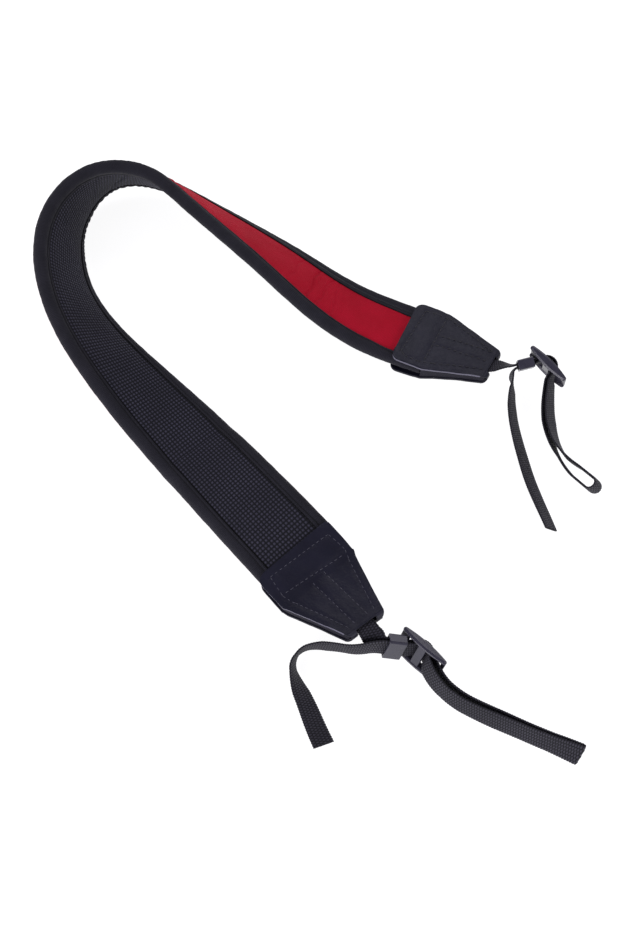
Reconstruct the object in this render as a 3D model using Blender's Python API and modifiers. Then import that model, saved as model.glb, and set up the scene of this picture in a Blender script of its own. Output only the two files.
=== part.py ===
"""Padded camera neck strap, lying in a U with a half twist, +Z up, metres.

A padded band 40 mm wide (grid fabric outside, red lining inside, both long edges bound) ends in two
folded leather ends. A narrow webbing leaves the slot in each leather end, passes a keeper, goes over the
middle bar of a slide buckle, makes the loop that a camera hangs from, and comes back through the buckle
and the keeper to a free tail.

The band is a ribbon described by a table of heading and lean along its length. Each webbing is a ribbon
that bends about its width, twists about its length and very slightly bends in its own plane. All other
pieces take their place from those two ribbons.
"""

import math
from collections import namedtuple

import bmesh
import bpy
import numpy as np
from mathutils import Matrix

MM = 0.001

# Padded band
BAND_LENGTH = 541.0 * MM
BAND_WIDTH = 40.0 * MM
BAND_THICKNESS = 6.9 * MM
BAND_STATIONS = 66
TURN_WEIGHT = 8.0
LINING_THICKNESS = 1.0 * MM
BINDING_WALL = 0.8 * MM
BINDING_OVERLAP = 6.2 * MM
GAP = 0.3 * MM

# Leather ends
LEATHER_THICKNESS = 1.2 * MM
LEATHER_LENGTH = 47.3 * MM
LEATHER_TAPER = 30.5 * MM
LEATHER_OVERHANG = 0.8 * MM
LEATHER_TIP_WIDTH = 20.2 * MM
LEATHER_TIP_HEIGHT = 4.6 * MM
LEATHER_HEIGHT = 8.2 * MM
LEATHER_CORNER = 4.0 * MM
EAR_ROUND = 1.8 * MM
SLOT_DEPTH = 2.2 * MM
SLOT_CLEARANCE = 0.9 * MM
SQUEEZE_LENGTH = 14.0 * MM

# Webbing
WEBBING_WIDTH = 10.0 * MM
WEBBING_THICKNESS = 1.2 * MM
WEBBING_SECTION_STEP = 4.0 * MM
WEBBING_SECTION_TURN = 0.30
ARCH_RADIUS = 4.2 * MM

# Keeper
KEEPER_LENGTH = 7.6 * MM
KEEPER_WALL = 0.9 * MM
KEEPER_CLEARANCE = 0.3 * MM
KEEPER_CORNER = 0.5 * MM

# Slide buckle
BUCKLE_LENGTH = 23.0 * MM
RAIL_HEIGHT = 1.9 * MM
RAIL_MIDDLE = 4.4 * MM
RAIL_END = 2.4 * MM
RAIL_CLEARANCE = 0.5 * MM
MIDDLE_BAR_WIDTH = 4.0 * MM
MIDDLE_BAR_DEPTH = 3.35 * MM
NEAR_BAR_WIDTH = 4.2 * MM
FAR_BAR_WIDTH = 1.9 * MM
END_BAR_INSET = 0.1 * MM
END_BAR_DEPTH = 1.0 * MM

# Half the distance between the middle planes of two layers of webbing that touch
LAYER = (WEBBING_THICKNESS + GAP) / 2

# The band from the lower tip to the upper tip: place as a share of the band's length, heading and lean in
# degrees, height of the low edge above the floor as a share of the band's width. At lean 0 the grid
# fabric faces up, at 90 the band stands on its edge, and at 180 the red lining faces up.
BandRow = namedtuple("BandRow", "share heading lean lift")
BAND_ROUTE = (
    BandRow(0.00, 132, 14, 0.175),
    BandRow(0.09, 131, -7, 0.200),
    BandRow(0.18, 129, -6, 0.100),
    BandRow(0.27, 133, 11, 0.000),
    BandRow(0.35, 129, 32, 0.000),
    BandRow(0.42, 113, 52, 0.000),
    BandRow(0.48, 90, 71, 0.000),
    BandRow(0.53, 65, 95, 0.000),
    BandRow(0.58, 17, 122, 0.100),
    BandRow(0.63, -29, 124, 0.025),
    BandRow(0.70, -39, 136, 0.000),
    BandRow(0.79, -42, 151, 0.075),
    BandRow(0.89, -24, 170, 0.000),
    BandRow(1.00, -28, 169, 0.000),
)

# Outer height of a folded leather end: place as a share of its length from the tip, height as a share of
# its height at the wide edge.
HeightRow = namedtuple("HeightRow", "share height")
LEATHER_PROFILE = (
    HeightRow(0.00, 0.56),
    HeightRow(0.30, 0.71),
    HeightRow(0.64, 0.90),
    HeightRow(1.00, 1.00),
)

# A stretch of webbing: its length as a share of the run, the bend about its width, the twist about its
# length and the bend in its own plane, in degrees.
Turn = namedtuple("Turn", "share bend twist edge")

# One end of the strap: where the webbing leaves the band's middle surface (distance from the tip) and
# how (pitch, roll), its stub up to the keeper, the free link between the keeper and the buckle, how far
# it wraps round the middle bar before and after its top, the leg that follows, the loop and the tail
# with their lengths, and the half gap between the loop's two layers at even shares, in half layers.
End = namedtuple(
    "End",
    "name exit pitch roll stub_length stub link link_bend link_twist wrap_in wrap_out leg leg_turn "
    "loop_length loop loop_gap tail_length tail",
)

LOWER_END = End(
    name="lower",
    exit=2.2 * MM,
    pitch=3,
    roll=-4,
    stub_length=13.3 * MM,
    stub=(Turn(0.36, 17, 10, -4), Turn(0.34, 19, 62, 9), Turn(0.30, 29, 1, 23)),
    link=5.3 * MM,
    link_bend=21,
    link_twist=0,
    wrap_in=65,
    wrap_out=56,
    leg=4.0 * MM,
    leg_turn=(24, -3),
    loop_length=71.0 * MM,
    loop=(
        Turn(1 / 6, 29, 9, 0),
        Turn(1 / 6, 21, -3, 0),
        Turn(1 / 6, 4, -5, 0),
        Turn(1 / 6, 0, 0, 0),
        Turn(1 / 6, 2, -4, 0),
        Turn(1 / 6, -3, -13, 0),
    ),
    loop_gap=(2.1, 1.9, 1.7, 1.5, 1.2, 1.0, 1.0),
    tail_length=79.5 * MM,
    tail=(
        Turn(0.10, 7, -7, -24),
        Turn(0.12, -25, -3, -3),
        Turn(0.11, 8, 0, 2),
        Turn(0.08, 14, -10, -1),
        Turn(0.08, 41, -10, 0),
        Turn(0.09, 55, 12, 0),
        Turn(0.12, 12, 29, 0),
        Turn(0.14, -5, 11, 0),
        Turn(0.16, 9, 8, 0),
    ),
)

UPPER_END = End(
    name="upper",
    exit=3.2 * MM,
    pitch=16,
    roll=2,
    stub_length=15.1 * MM,
    stub=(Turn(0.36, 7, -10, -7), Turn(0.34, -9, -23, -8), Turn(0.30, 20, -11, -10)),
    link=5.3 * MM,
    link_bend=-3,
    link_twist=-11,
    wrap_in=58,
    wrap_out=78,
    leg=5.4 * MM,
    leg_turn=(29, 22),
    loop_length=60.0 * MM,
    loop=(
        Turn(1 / 6, 4, 7, 0),
        Turn(1 / 6, 10, 4, 0),
        Turn(1 / 6, 12, -5, 0),
        Turn(1 / 6, 15, -9, 0),
        Turn(1 / 6, 12, 6, 0),
        Turn(1 / 6, 0, 0, 0),
    ),
    loop_gap=(1.1, 1.2, 1.4, 1.4, 1.9, 3.6, 3.7),
    tail_length=88.0 * MM,
    tail=(
        Turn(0.07, 84, 1, 17),
        Turn(0.08, -15, 25, 10),
        Turn(0.10, 9, 10, 0),
        Turn(0.12, 8, 5, 0),
        Turn(0.13, 3, 4, -1),
        Turn(0.13, 1, 2, -1),
        Turn(0.13, 5, 2, -1),
        Turn(0.12, 2, -1, 0),
        Turn(0.12, -1, -2, 0),
    ),
)

Finish = namedtuple("Finish", "colour roughness")
GRID_FABRIC = Finish((0.022, 0.021, 0.030), 0.75)
RED_FABRIC = Finish((0.42, 0.012, 0.030), 0.80)
BINDING_KNIT = Finish((0.008, 0.008, 0.010), 0.85)
LEATHER = Finish((0.016, 0.016, 0.024), 0.45)
WEBBING = Finish((0.018, 0.017, 0.022), 0.70)
NYLON = Finish((0.040, 0.038, 0.055), 0.40)


# Curves and frames


def smooth_through(places, values, x):
    """Cubic through the rows of a table: slopes at the inner rows are weighted mean differences."""
    places = np.asarray(places, float)
    values = np.asarray(values, float)
    width = np.diff(places)
    slope = np.diff(values) / width
    inner = (slope[:-1] * width[1:] + slope[1:] * width[:-1]) / (width[:-1] + width[1:])
    tangent = np.concatenate([slope[:1], inner, slope[-1:]])
    i = np.clip(np.searchsorted(places, x, side="right") - 1, 0, len(width) - 1)
    u = (x - places[i]) / width[i]
    return (
        (1 + 2 * u) * (1 - u) ** 2 * values[i]
        + u * (1 - u) ** 2 * width[i] * tangent[i]
        + u * u * (3 - 2 * u) * values[i + 1]
        + u * u * (u - 1) * width[i] * tangent[i + 1]
    )


def turned(vector, axis, angle):
    """The vector turned about the axis by an angle in radians."""
    cosine = math.cos(angle)
    sine = math.sin(angle)
    return vector * cosine + np.cross(axis, vector) * sine + axis * np.dot(axis, vector) * (1 - cosine)


class Ribbon:
    """Points along a strip with their direction of travel, width direction and face direction."""

    def __init__(self, arc, point, along, across):
        self.arc = np.asarray(arc)
        self.point = np.asarray(point)
        self.along = np.asarray(along)
        self.across = np.asarray(across)

    def frame(self, arc):
        """Point, travel, width and face direction at a distance along the ribbon."""
        def read(values):
            return np.array([np.interp(arc, self.arc, values[:, axis]) for axis in range(3)])

        along = read(self.along)
        along /= np.linalg.norm(along)
        across = read(self.across)
        across -= along * np.dot(across, along)
        across /= np.linalg.norm(across)
        return read(self.point), along, across, np.cross(along, across)


def band_ribbon():
    """The middle surface of the band, from the lower tip to the upper tip."""
    count = 792
    share = np.linspace(0, 1, count + 1)
    rows = np.array([tuple(row) for row in BAND_ROUTE], float)
    heading = np.radians(smooth_through(rows[:, 0], rows[:, 1], share))
    lean = np.radians(smooth_through(rows[:, 0], rows[:, 2], share))
    lift = smooth_through(rows[:, 0], rows[:, 3], share) * BAND_WIDTH
    reach = (BAND_WIDTH - BAND_THICKNESS) / 2
    height = reach * np.abs(np.sin(lean)) + BAND_THICKNESS / 2 + lift
    step = BAND_LENGTH / count
    rise = np.clip(np.gradient(height, step), -0.9, 0.9)
    level = np.sqrt(1 - rise**2)
    along = np.stack([np.cos(heading) * level, np.sin(heading) * level, rise], -1)
    flat = (along[1:, :2] + along[:-1, :2]) / 2 * step
    place = np.vstack([np.zeros((1, 2)), np.cumsum(flat, axis=0)])
    point = np.column_stack([place, height])
    left = np.stack([-np.sin(heading), np.cos(heading), heading * 0], -1)
    upward = np.cross(along, left)
    across = np.cos(lean)[:, None] * left + np.sin(lean)[:, None] * upward
    return Ribbon(share * BAND_LENGTH, point, along, across)


def follow(point, along, across, turns, steps_per_mm=2):
    """A ribbon that starts in the given frame and makes the turns: (length, bend, twist, edge)."""
    arcs = [0.0]
    points = [point]
    alongs = [along]
    acrosses = [across]
    for length, bend, twist, edge in turns:
        count = max(4, math.ceil(length / MM * steps_per_mm))
        bend_step = math.radians(bend) / count
        twist_step = math.radians(twist) / count
        edge_step = math.radians(edge) / count
        for _ in range(count):
            face = np.cross(along, across)
            along = turned(along, across, bend_step / 2)
            along = turned(along, face, edge_step / 2)
            across = turned(across, face, edge_step / 2)
            across = turned(across, along, twist_step)
            point = point + along * (length / count)
            face = np.cross(along, across)
            across = turned(across, face, edge_step / 2)
            along = turned(along, face, edge_step / 2)
            along = turned(along, across, bend_step / 2)
            across = across - along * np.dot(across, along)
            across = across / np.linalg.norm(across)
            arcs.append(arcs[-1] + length / count)
            points.append(point)
            alongs.append(along)
            acrosses.append(across)
    return Ribbon(arcs, points, alongs, acrosses)


# Meshes


def material(name, finish):
    """A Principled material of one colour and roughness."""
    made = bpy.data.materials.new(name)
    made.use_nodes = True
    shader = made.node_tree.nodes["Principled BSDF"]
    shader.inputs["Base Color"].default_value = (*finish.colour, 1.0)
    shader.inputs["Roughness"].default_value = finish.roughness
    shader.inputs["Metallic"].default_value = 0.0
    return made


def mesh_object(name, vertices, faces, finish, collection):
    """An object of the given vertices and faces with its faces turned outward."""
    mesh = bpy.data.meshes.new(name)
    mesh.from_pydata([tuple(v) for v in vertices], [], faces)
    work = bmesh.new()
    work.from_mesh(mesh)
    bmesh.ops.recalc_face_normals(work, faces=work.faces)
    work.to_mesh(mesh)
    work.free()
    mesh.shade_smooth()
    mesh.set_sharp_from_angle(angle=math.radians(40))
    made = bpy.data.objects.new(name, mesh)
    mesh.materials.append(material(name, finish))
    collection.objects.link(made)
    return made


def loft(name, sections, lefts, finish, collection):
    """A closed body through sections of equally many points.

    Each four-sided face is split from its point further left at one section to its point further right
    at the next, so that layers that lie on each other are split alike.
    """
    count = len(sections[0])
    vertices = [point for section in sections for point in section]
    faces = []
    for i in range(len(sections) - 1):
        reach = [float(np.dot(point, lefts[i])) for point in sections[i]]
        for j in range(count):
            k = (j + 1) % count
            a = i * count + j
            b = i * count + k
            c = (i + 1) * count + k
            d = (i + 1) * count + j
            if reach[j] > reach[k]:
                faces += [(a, b, c), (a, c, d)]
            else:
                faces += [(a, b, d), (b, c, d)]
    faces.append(tuple(range(count)))
    last = (len(sections) - 1) * count
    faces.append(tuple(last + j for j in reversed(range(count))))
    return mesh_object(name, vertices, faces, finish, collection)


def extruded(name, outlines, low, high, placement, collection):
    """A mesh object of flat outlines (the first is the rim, the others are holes), from low to high."""
    curve = bpy.data.curves.new(name, "CURVE")
    curve.dimensions = "2D"
    curve.fill_mode = "BOTH"
    curve.extrude = (high - low) / 2
    for outline in outlines:
        spline = curve.splines.new("POLY")
        spline.points.add(len(outline) - 1)
        for point, (x, y) in zip(spline.points, outline):
            point.co = (x, y, 0, 1)
        spline.use_cyclic_u = True
    holder = bpy.data.objects.new(name + "_outline", curve)
    collection.objects.link(holder)
    bpy.context.view_layer.update()
    evaluated = holder.evaluated_get(bpy.context.evaluated_depsgraph_get())
    mesh = bpy.data.meshes.new_from_object(evaluated)
    bpy.data.objects.remove(holder)
    work = bmesh.new()
    work.from_mesh(mesh)
    bmesh.ops.remove_doubles(work, verts=work.verts, dist=1e-7)
    bmesh.ops.translate(work, verts=work.verts, vec=(0, 0, (low + high) / 2))
    bmesh.ops.recalc_face_normals(work, faces=work.faces)
    work.to_mesh(mesh)
    work.free()
    made = bpy.data.objects.new(name, mesh)
    made.matrix_world = placement
    collection.objects.link(made)
    return made


def placement(origin, x_axis, y_axis, z_axis):
    """The matrix that puts a piece's own axes along the given directions."""
    columns = Matrix((x_axis, y_axis, z_axis)).transposed().to_4x4()
    columns.translation = origin
    return columns


def rounded_rectangle(width, height, radius, corner_steps=3):
    """Points round a rectangle with round corners."""
    points = []
    corners = ((1, 1, 0), (-1, 1, 90), (-1, -1, 180), (1, -1, 270))
    for side_x, side_y, start in corners:
        centre_x = side_x * (width / 2 - radius)
        centre_y = side_y * (height / 2 - radius)
        for step in range(corner_steps + 1):
            angle = math.radians(start + 90 * step / corner_steps)
            points.append((centre_x + radius * math.cos(angle), centre_y + radius * math.sin(angle)))
    return points


# Padded band


def leather_height(from_tip):
    """Outer height of a folded leather end at a distance from its tip."""
    rows = np.array([tuple(row) for row in LEATHER_PROFILE], float)
    share = min(max(from_tip / LEATHER_LENGTH, 0.0), 1.0)
    return float(smooth_through(rows[:, 0], rows[:, 1], share)) * LEATHER_HEIGHT


def band_thickness(arc):
    """Thickness of the bound band: squeezed inside the leather ends, full a little way out of them."""
    from_tip = min(arc, BAND_LENGTH - arc)
    inside = leather_height(from_tip) - 2 * (LEATHER_THICKNESS + GAP)
    out = min(max((from_tip - LEATHER_LENGTH) / SQUEEZE_LENGTH, 0.0), 1.0)
    ease = out * out * (3 - 2 * out)
    return inside + (BAND_THICKNESS - inside) * ease


def band_arcs(ribbon):
    """Places of the band's sections from shoulder to shoulder, closer together where it turns."""
    start = LEATHER_TAPER + GAP * 3
    arcs = np.linspace(start, BAND_LENGTH - start, 800)
    frames = [np.concatenate(ribbon.frame(arc)[1:]) for arc in arcs]
    turning = np.linalg.norm(np.diff(frames, axis=0), axis=1)
    effort = np.cumsum(np.concatenate([[0.0], np.diff(arcs) / BAND_LENGTH + turning / TURN_WEIGHT]))
    return np.interp(np.linspace(0, effort[-1], BAND_STATIONS), effort, arcs)


def edge_round(radius):
    """Corners of the half round at a long edge: offset from its centre, height over the middle."""
    turns = [math.radians(angle) for angle in (-90, -45, 0, 45, 90)]
    return [(radius * math.cos(turn), radius * math.sin(turn)) for turn in turns]


def core_half_width(thickness, level):
    """Half the width of the padding at a height over its middle, inside the round of the binding."""
    corners = edge_round(thickness / 2 - BINDING_WALL - GAP)
    offset = np.interp(level, [height for _, height in corners], [out for out, _ in corners])
    return BAND_WIDTH / 2 - thickness / 2 + float(offset)


def slab_section(frame, thickness, levels):
    """A section of a layer of the padding through the given heights."""
    point, _, across, face = frame
    left = [point + across * core_half_width(thickness, level) + face * level for level in levels]
    right = [point - across * core_half_width(thickness, level) + face * level for level in levels]
    return left + [point + face * levels[-1]] + right[::-1] + [point + face * levels[0]]


def lining_top(thickness):
    """Height of the joint between the red lining and the padding over it."""
    reach = thickness / 2 - BINDING_WALL - GAP
    return -reach + min(LINING_THICKNESS, 0.7 * reach)


def pad_section(frame, thickness):
    """The padding with the grid fabric on it."""
    top = thickness / 2 - BINDING_WALL - GAP
    bottom = lining_top(thickness) + GAP
    levels = [bottom, top * math.sin(math.radians(45)), top]
    return slab_section(frame, thickness, levels)


def lining_section(frame, thickness):
    """The red lining."""
    bottom = -(thickness / 2 - BINDING_WALL - GAP)
    levels = [bottom, bottom * math.sin(math.radians(45)), lining_top(thickness)]
    return slab_section(frame, thickness, levels)


def binding_section(frame, thickness, side):
    """The binding folded over one long edge: a channel with a round back."""
    point, _, across, face = frame
    centre = BAND_WIDTH / 2 - thickness / 2
    lip = BAND_WIDTH / 2 - BINDING_OVERLAP
    outer_radius = thickness / 2
    inner_radius = outer_radius - BINDING_WALL
    outer = [(centre + out, level) for out, level in edge_round(outer_radius)]
    inner = [(centre + out, level) for out, level in edge_round(inner_radius)]
    outline = [(lip, -outer_radius), *outer, (lip, outer_radius)]
    outline += [(lip, inner_radius), *inner[::-1], (lip, -inner_radius)]
    return [point + across * side * x + face * y for x, y in outline]


def make_band(ribbon, collection):
    """The four long pieces of the band."""
    frames = [(ribbon.frame(arc), band_thickness(arc)) for arc in band_arcs(ribbon)]
    lefts = [frame[2] for frame, _ in frames]
    loft("grid_fabric_pad", [pad_section(f, t) for f, t in frames], lefts, GRID_FABRIC, collection)
    loft("red_lining", [lining_section(f, t) for f, t in frames], lefts, RED_FABRIC, collection)
    for name, side in (("edge_binding_outer", 1), ("edge_binding_inner", -1)):
        sections = [binding_section(f, t, side) for f, t in frames]
        loft(name, sections, lefts, BINDING_KNIT, collection)


# Leather ends


def leather_half_width(from_tip):
    """Half the width of the leather: tapered to the tip, with round corners at both ends."""
    wide = BAND_WIDTH / 2 + LEATHER_OVERHANG
    if from_tip < LEATHER_TAPER:
        share = from_tip / LEATHER_TAPER
        short = max(EAR_ROUND - from_tip, 0.0)
        ear = EAR_ROUND - math.sqrt(EAR_ROUND**2 - short**2)
        return LEATHER_TIP_WIDTH / 2 + (wide - LEATHER_TIP_WIDTH / 2) * share - ear
    into_corner = max(from_tip - (LEATHER_LENGTH - LEATHER_CORNER), 0.0)
    return wide - LEATHER_CORNER + math.sqrt(LEATHER_CORNER**2 - min(into_corner, LEATHER_CORNER) ** 2)


def leather_rows():
    """Rows over the folded leather: distance from the tip and height over the band's middle."""
    radius = (LEATHER_TIP_HEIGHT - LEATHER_THICKNESS) / 2
    corner = LEATHER_LENGTH - LEATHER_CORNER
    panel = [LEATHER_LENGTH - LEATHER_CORNER * (1 - math.sin(math.radians(a))) for a in (90, 55, 25, 0)]
    panel += list(np.linspace(corner, LEATHER_TAPER, 4)[1:])
    panel += list(np.linspace(LEATHER_TAPER, SLOT_DEPTH, 7)[1:])
    heights = [(leather_height(d) - LEATHER_THICKNESS) / 2 for d in panel]
    upper = list(zip(panel, heights))
    fold = []
    for angle in (90, 60, 30, 0, -30, -60, -90):
        turn = math.radians(angle)
        fold.append((radius * (1 - math.cos(turn)), radius * math.sin(turn)))
    lower = [(d, -h) for d, h in reversed(upper)]
    return upper + fold + lower


def make_leather_end(name, ribbon, from_start, collection):
    """One leather end: a sheet folded over the tip, with a slot in the fold for the webbing."""
    slot = WEBBING_WIDTH / 2 + SLOT_CLEARANCE
    rows = leather_rows()
    vertices = []
    for from_tip, height in rows:
        arc = from_tip if from_start else BAND_LENGTH - from_tip
        point, _, across, face = ribbon.frame(arc)
        half = leather_half_width(from_tip)
        edge = (half + slot) / 2
        for place in (-half, -edge, -slot, 0.0, slot, edge, half):
            vertices.append(point + across * place + face * height)
    columns = 7
    slot_columns = (2, 3)
    faces = []
    for i in range(len(rows) - 1):
        in_slot = max(rows[i][0], rows[i + 1][0]) <= SLOT_DEPTH + 1e-9
        for j in range(columns - 1):
            if in_slot and j in slot_columns:
                continue
            a = i * columns + j
            faces.append((a, a + 1, a + columns + 1, a + columns))
    made = mesh_object(name, vertices, faces, LEATHER, collection)
    work = bmesh.new()
    work.from_mesh(made.data)
    loose = [v for v in work.verts if not v.link_faces]
    bmesh.ops.delete(work, geom=loose, context="VERTS")
    work.to_mesh(made.data)
    work.free()
    solidify = made.modifiers.new("thickness", "SOLIDIFY")
    solidify.thickness = LEATHER_THICKNESS
    solidify.offset = 0.0
    solidify.use_even_offset = True
    return made


# Webbing


def end_frames(end, ribbon):
    """The route of the doubled webbing from the slot to the loop's end, with the places along it."""
    if end.name == "lower":
        point, along, across, _ = ribbon.frame(end.exit)
        along = -along
        across = -across
    else:
        point, along, across, _ = ribbon.frame(BAND_LENGTH - end.exit)
    along = turned(along, across, math.radians(end.pitch))
    across = turned(across, along, math.radians(end.roll))
    wrap_in = ARCH_RADIUS * math.radians(end.wrap_in)
    wrap_out = ARCH_RADIUS * math.radians(end.wrap_out)
    turns = [(turn.share * end.stub_length, turn.bend, turn.twist, turn.edge) for turn in end.stub]
    turns += [
        (KEEPER_LENGTH, 0, 0, 0),
        (end.link, end.link_bend, end.link_twist, 0),
        (wrap_in, -end.wrap_in, 0, 0),
        (wrap_out, -end.wrap_out, 0, 0),
        (end.leg, *end.leg_turn, 0),
    ]
    turns += [(turn.share * end.loop_length, turn.bend, turn.twist, turn.edge) for turn in end.loop]
    route = follow(point, along, across, turns)
    keeper = end.stub_length + KEEPER_LENGTH / 2
    arch_start = end.stub_length + KEEPER_LENGTH + end.link
    places = {
        "keeper_start": end.stub_length,
        "keeper": keeper,
        "arch_start": arch_start,
        "arch_top": arch_start + wrap_in,
        "arch_end": arch_start + wrap_in + wrap_out,
        "loop_start": arch_start + wrap_in + wrap_out + end.leg,
        "loop_end": route.arc[-1],
    }
    return route, places


def half_gap(end, places, arc):
    """Half the distance between the two layers of webbing at a place on the doubled route."""
    shares = np.linspace(0, 1, len(end.loop_gap))
    share = (arc - places["loop_start"]) / end.loop_length
    in_loop = float(np.interp(share, shares, end.loop_gap)) * LAYER
    ease = (arc - places["arch_end"]) / end.leg
    ease = min(max(ease, 0.0), 1.0)
    return LAYER + (in_loop - LAYER) * ease


def section_arcs(route, start, stop):
    """Places for sections along the webbing, closer together where it turns."""
    arcs = np.linspace(start, stop, 600)
    frames = [np.concatenate(route.frame(arc)[1:]) for arc in arcs]
    turning = np.linalg.norm(np.diff(frames, axis=0), axis=1)
    steps = np.diff(arcs) / WEBBING_SECTION_STEP + turning / WEBBING_SECTION_TURN
    effort = np.cumsum(np.concatenate([[0.0], steps]))
    return np.interp(np.linspace(0, effort[-1], math.ceil(effort[-1]) + 1), effort, arcs)


def strip_section(point, across, outward):
    """The four corners of the webbing, outward being the face away from its other layer."""
    half_width = across * WEBBING_WIDTH / 2
    half_thickness = outward * WEBBING_THICKNESS / 2
    return [
        point + half_width + half_thickness,
        point + half_width - half_thickness,
        point - half_width - half_thickness,
        point - half_width + half_thickness,
    ]


def make_webbing(end, ribbon, route, places, collection):
    """One continuous strip: sewn end, keeper, buckle, loop, buckle, keeper, tail."""
    sections = []
    lefts = []
    sewn = np.linspace(LEATHER_TAPER, end.exit + 1.5 * WEBBING_THICKNESS, 7)
    for from_tip in sewn:
        arc = from_tip if end.name == "lower" else BAND_LENGTH - from_tip
        point, _, across, face = ribbon.frame(arc)
        across = -across if end.name == "lower" else across
        sections.append(strip_section(point, across, -face))
        lefts.append(across)
    arcs = section_arcs(route, 0.0, places["loop_end"])
    for arc in arcs:
        point, _, across, face = route.frame(arc)
        apart = half_gap(end, places, arc) * min(arc / places["keeper_start"], 1.0)
        sections.append(strip_section(point - face * apart, across, -face))
        lefts.append(across)
    point, along, across, face = route.frame(places["loop_end"])
    radius = half_gap(end, places, places["loop_end"])
    for angle in (30, 60, 90, 120, 150):
        turn = math.radians(angle)
        outward = along * math.sin(turn) - face * math.cos(turn)
        sections.append(strip_section(point + outward * radius, across, outward))
        lefts.append(-across)
    for arc in reversed([arc for arc in arcs if arc > places["keeper_start"]]):
        point, _, across, face = route.frame(arc)
        sections.append(strip_section(point + face * half_gap(end, places, arc), across, face))
        lefts.append(-across)
    point, along, across, face = route.frame(places["keeper_start"])
    turns = [(turn.share * end.tail_length, turn.bend, turn.twist, turn.edge) for turn in end.tail]
    tail = follow(point + face * LAYER, -along, across, turns)
    for arc in section_arcs(tail, 0.0, end.tail_length):
        point, _, across, face = tail.frame(arc)
        sections.append(strip_section(point, across, -face))
        lefts.append(-across)
    return loft("webbing_" + end.name, sections, lefts, WEBBING, collection)


# Keeper and buckle


def make_keeper(end, route, places, collection):
    """A moulded sleeve round the two layers of webbing."""
    point, along, across, face = route.frame(places["keeper"])
    inner_width = WEBBING_WIDTH + 2 * KEEPER_CLEARANCE
    inner_height = 2 * (LAYER + WEBBING_THICKNESS / 2 + KEEPER_CLEARANCE)
    outer = rounded_rectangle(inner_width + 2 * KEEPER_WALL, inner_height + 2 * KEEPER_WALL, KEEPER_CORNER)
    inner = rounded_rectangle(inner_width, inner_height, KEEPER_CORNER / 2)
    half = KEEPER_LENGTH / 2
    spot = placement(point, across, face, along)
    made = extruded("keeper_" + end.name, [outer, inner], -half, half, spot, collection)
    made.data.materials.append(material(made.name, NYLON))
    return made


def rail_outline():
    """A slim leaf: thick in the middle, round at both ends."""
    half = BUCKLE_LENGTH / 2
    round_end = RAIL_END / 2
    reach = half - round_end
    points = []
    for share in (-1.0, -0.75, -0.5, -0.25, 0.0, 0.25, 0.5, 0.75, 1.0):
        swell = (RAIL_MIDDLE - RAIL_END) / 2 * (1 - abs(share) ** 1.5)
        points.append((share * reach, -(round_end + swell)))
    for angle in (-45, 0, 45):
        turn = math.radians(angle)
        points.append((reach + round_end * math.cos(turn), round_end * math.sin(turn)))
    upper = [(-x, -y) for x, y in points]
    return points + upper


def middle_bar_outline():
    """The middle bar: flat towards the loop, half round where the webbing wraps it."""
    half = MIDDLE_BAR_WIDTH / 2
    top = ARCH_RADIUS - LAYER - WEBBING_THICKNESS / 2 - GAP
    crown = top - half
    low = top - MIDDLE_BAR_DEPTH
    points = [(-half, low), (half, low)]
    for angle in range(0, 181, 30):
        turn = math.radians(angle)
        points.append((half * math.cos(turn), crown + half * math.sin(turn)))
    return points


def end_bar_outline(side, width):
    """A bar at one end of the buckle, behind the webbing."""
    centre = side * (BUCKLE_LENGTH / 2 - width / 2 - END_BAR_INSET)
    outline = rounded_rectangle(width, END_BAR_DEPTH, END_BAR_DEPTH * 0.4, corner_steps=2)
    return [(x + centre, y + END_BAR_DEPTH / 2) for x, y in outline]


def make_buckle(end, route, places, collection, scratch):
    """The slide buckle: two leaf rails joined by a middle bar and two end bars."""
    top, along, across, face = route.frame(places["arch_top"])
    arch_centre = top + face * ARCH_RADIUS
    bar_top = ARCH_RADIUS - LAYER - WEBBING_THICKNESS / 2 - GAP
    middle = arch_centre - face * (bar_top - MIDDLE_BAR_DEPTH / 2)
    spot = placement(middle, along, -face, across)
    shift = bar_top - MIDDLE_BAR_DEPTH / 2
    inner = WEBBING_WIDTH / 2 + RAIL_CLEARANCE
    outer = inner + RAIL_HEIGHT
    into_rail = RAIL_HEIGHT / 2
    name = "buckle_" + end.name
    buckle = extruded(name, [rail_outline()], inner, outer, spot, collection)
    bar = [(x, y - shift) for x, y in middle_bar_outline()]
    others = [
        extruded(name + "_rail", [rail_outline()], -outer, -inner, spot, scratch),
        extruded(name + "_middle_bar", [bar], -inner - into_rail, inner + into_rail, spot, scratch),
        extruded(name + "_near_bar", [end_bar_outline(-1, NEAR_BAR_WIDTH)], -inner - into_rail,
                 inner + into_rail, spot, scratch),
        extruded(name + "_far_bar", [end_bar_outline(1, FAR_BAR_WIDTH)], -inner - into_rail,
                 inner + into_rail, spot, scratch),
    ]
    for other in others:
        other.hide_render = True
        other.display_type = "WIRE"
        union = buckle.modifiers.new(other.name, "BOOLEAN")
        union.operation = "UNION"
        union.solver = "EXACT"
        union.object = other
    buckle.data.materials.append(material(name, NYLON))
    return buckle


# Assembly


def world_bounds(objects):
    """Lowest and highest corner of the evaluated objects."""
    bpy.context.view_layer.update()
    graph = bpy.context.evaluated_depsgraph_get()
    corners = []
    for piece in objects:
        evaluated = piece.evaluated_get(graph)
        mesh = evaluated.to_mesh()
        flat = np.empty(len(mesh.vertices) * 3, np.float32)
        mesh.vertices.foreach_get("co", flat)
        turn = np.array(evaluated.matrix_world)
        placed = flat.reshape(-1, 3) @ turn[:3, :3].T + turn[:3, 3]
        corners += [placed.min(axis=0), placed.max(axis=0)]
        evaluated.to_mesh_clear()
    return np.min(corners, axis=0), np.max(corners, axis=0)


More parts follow.
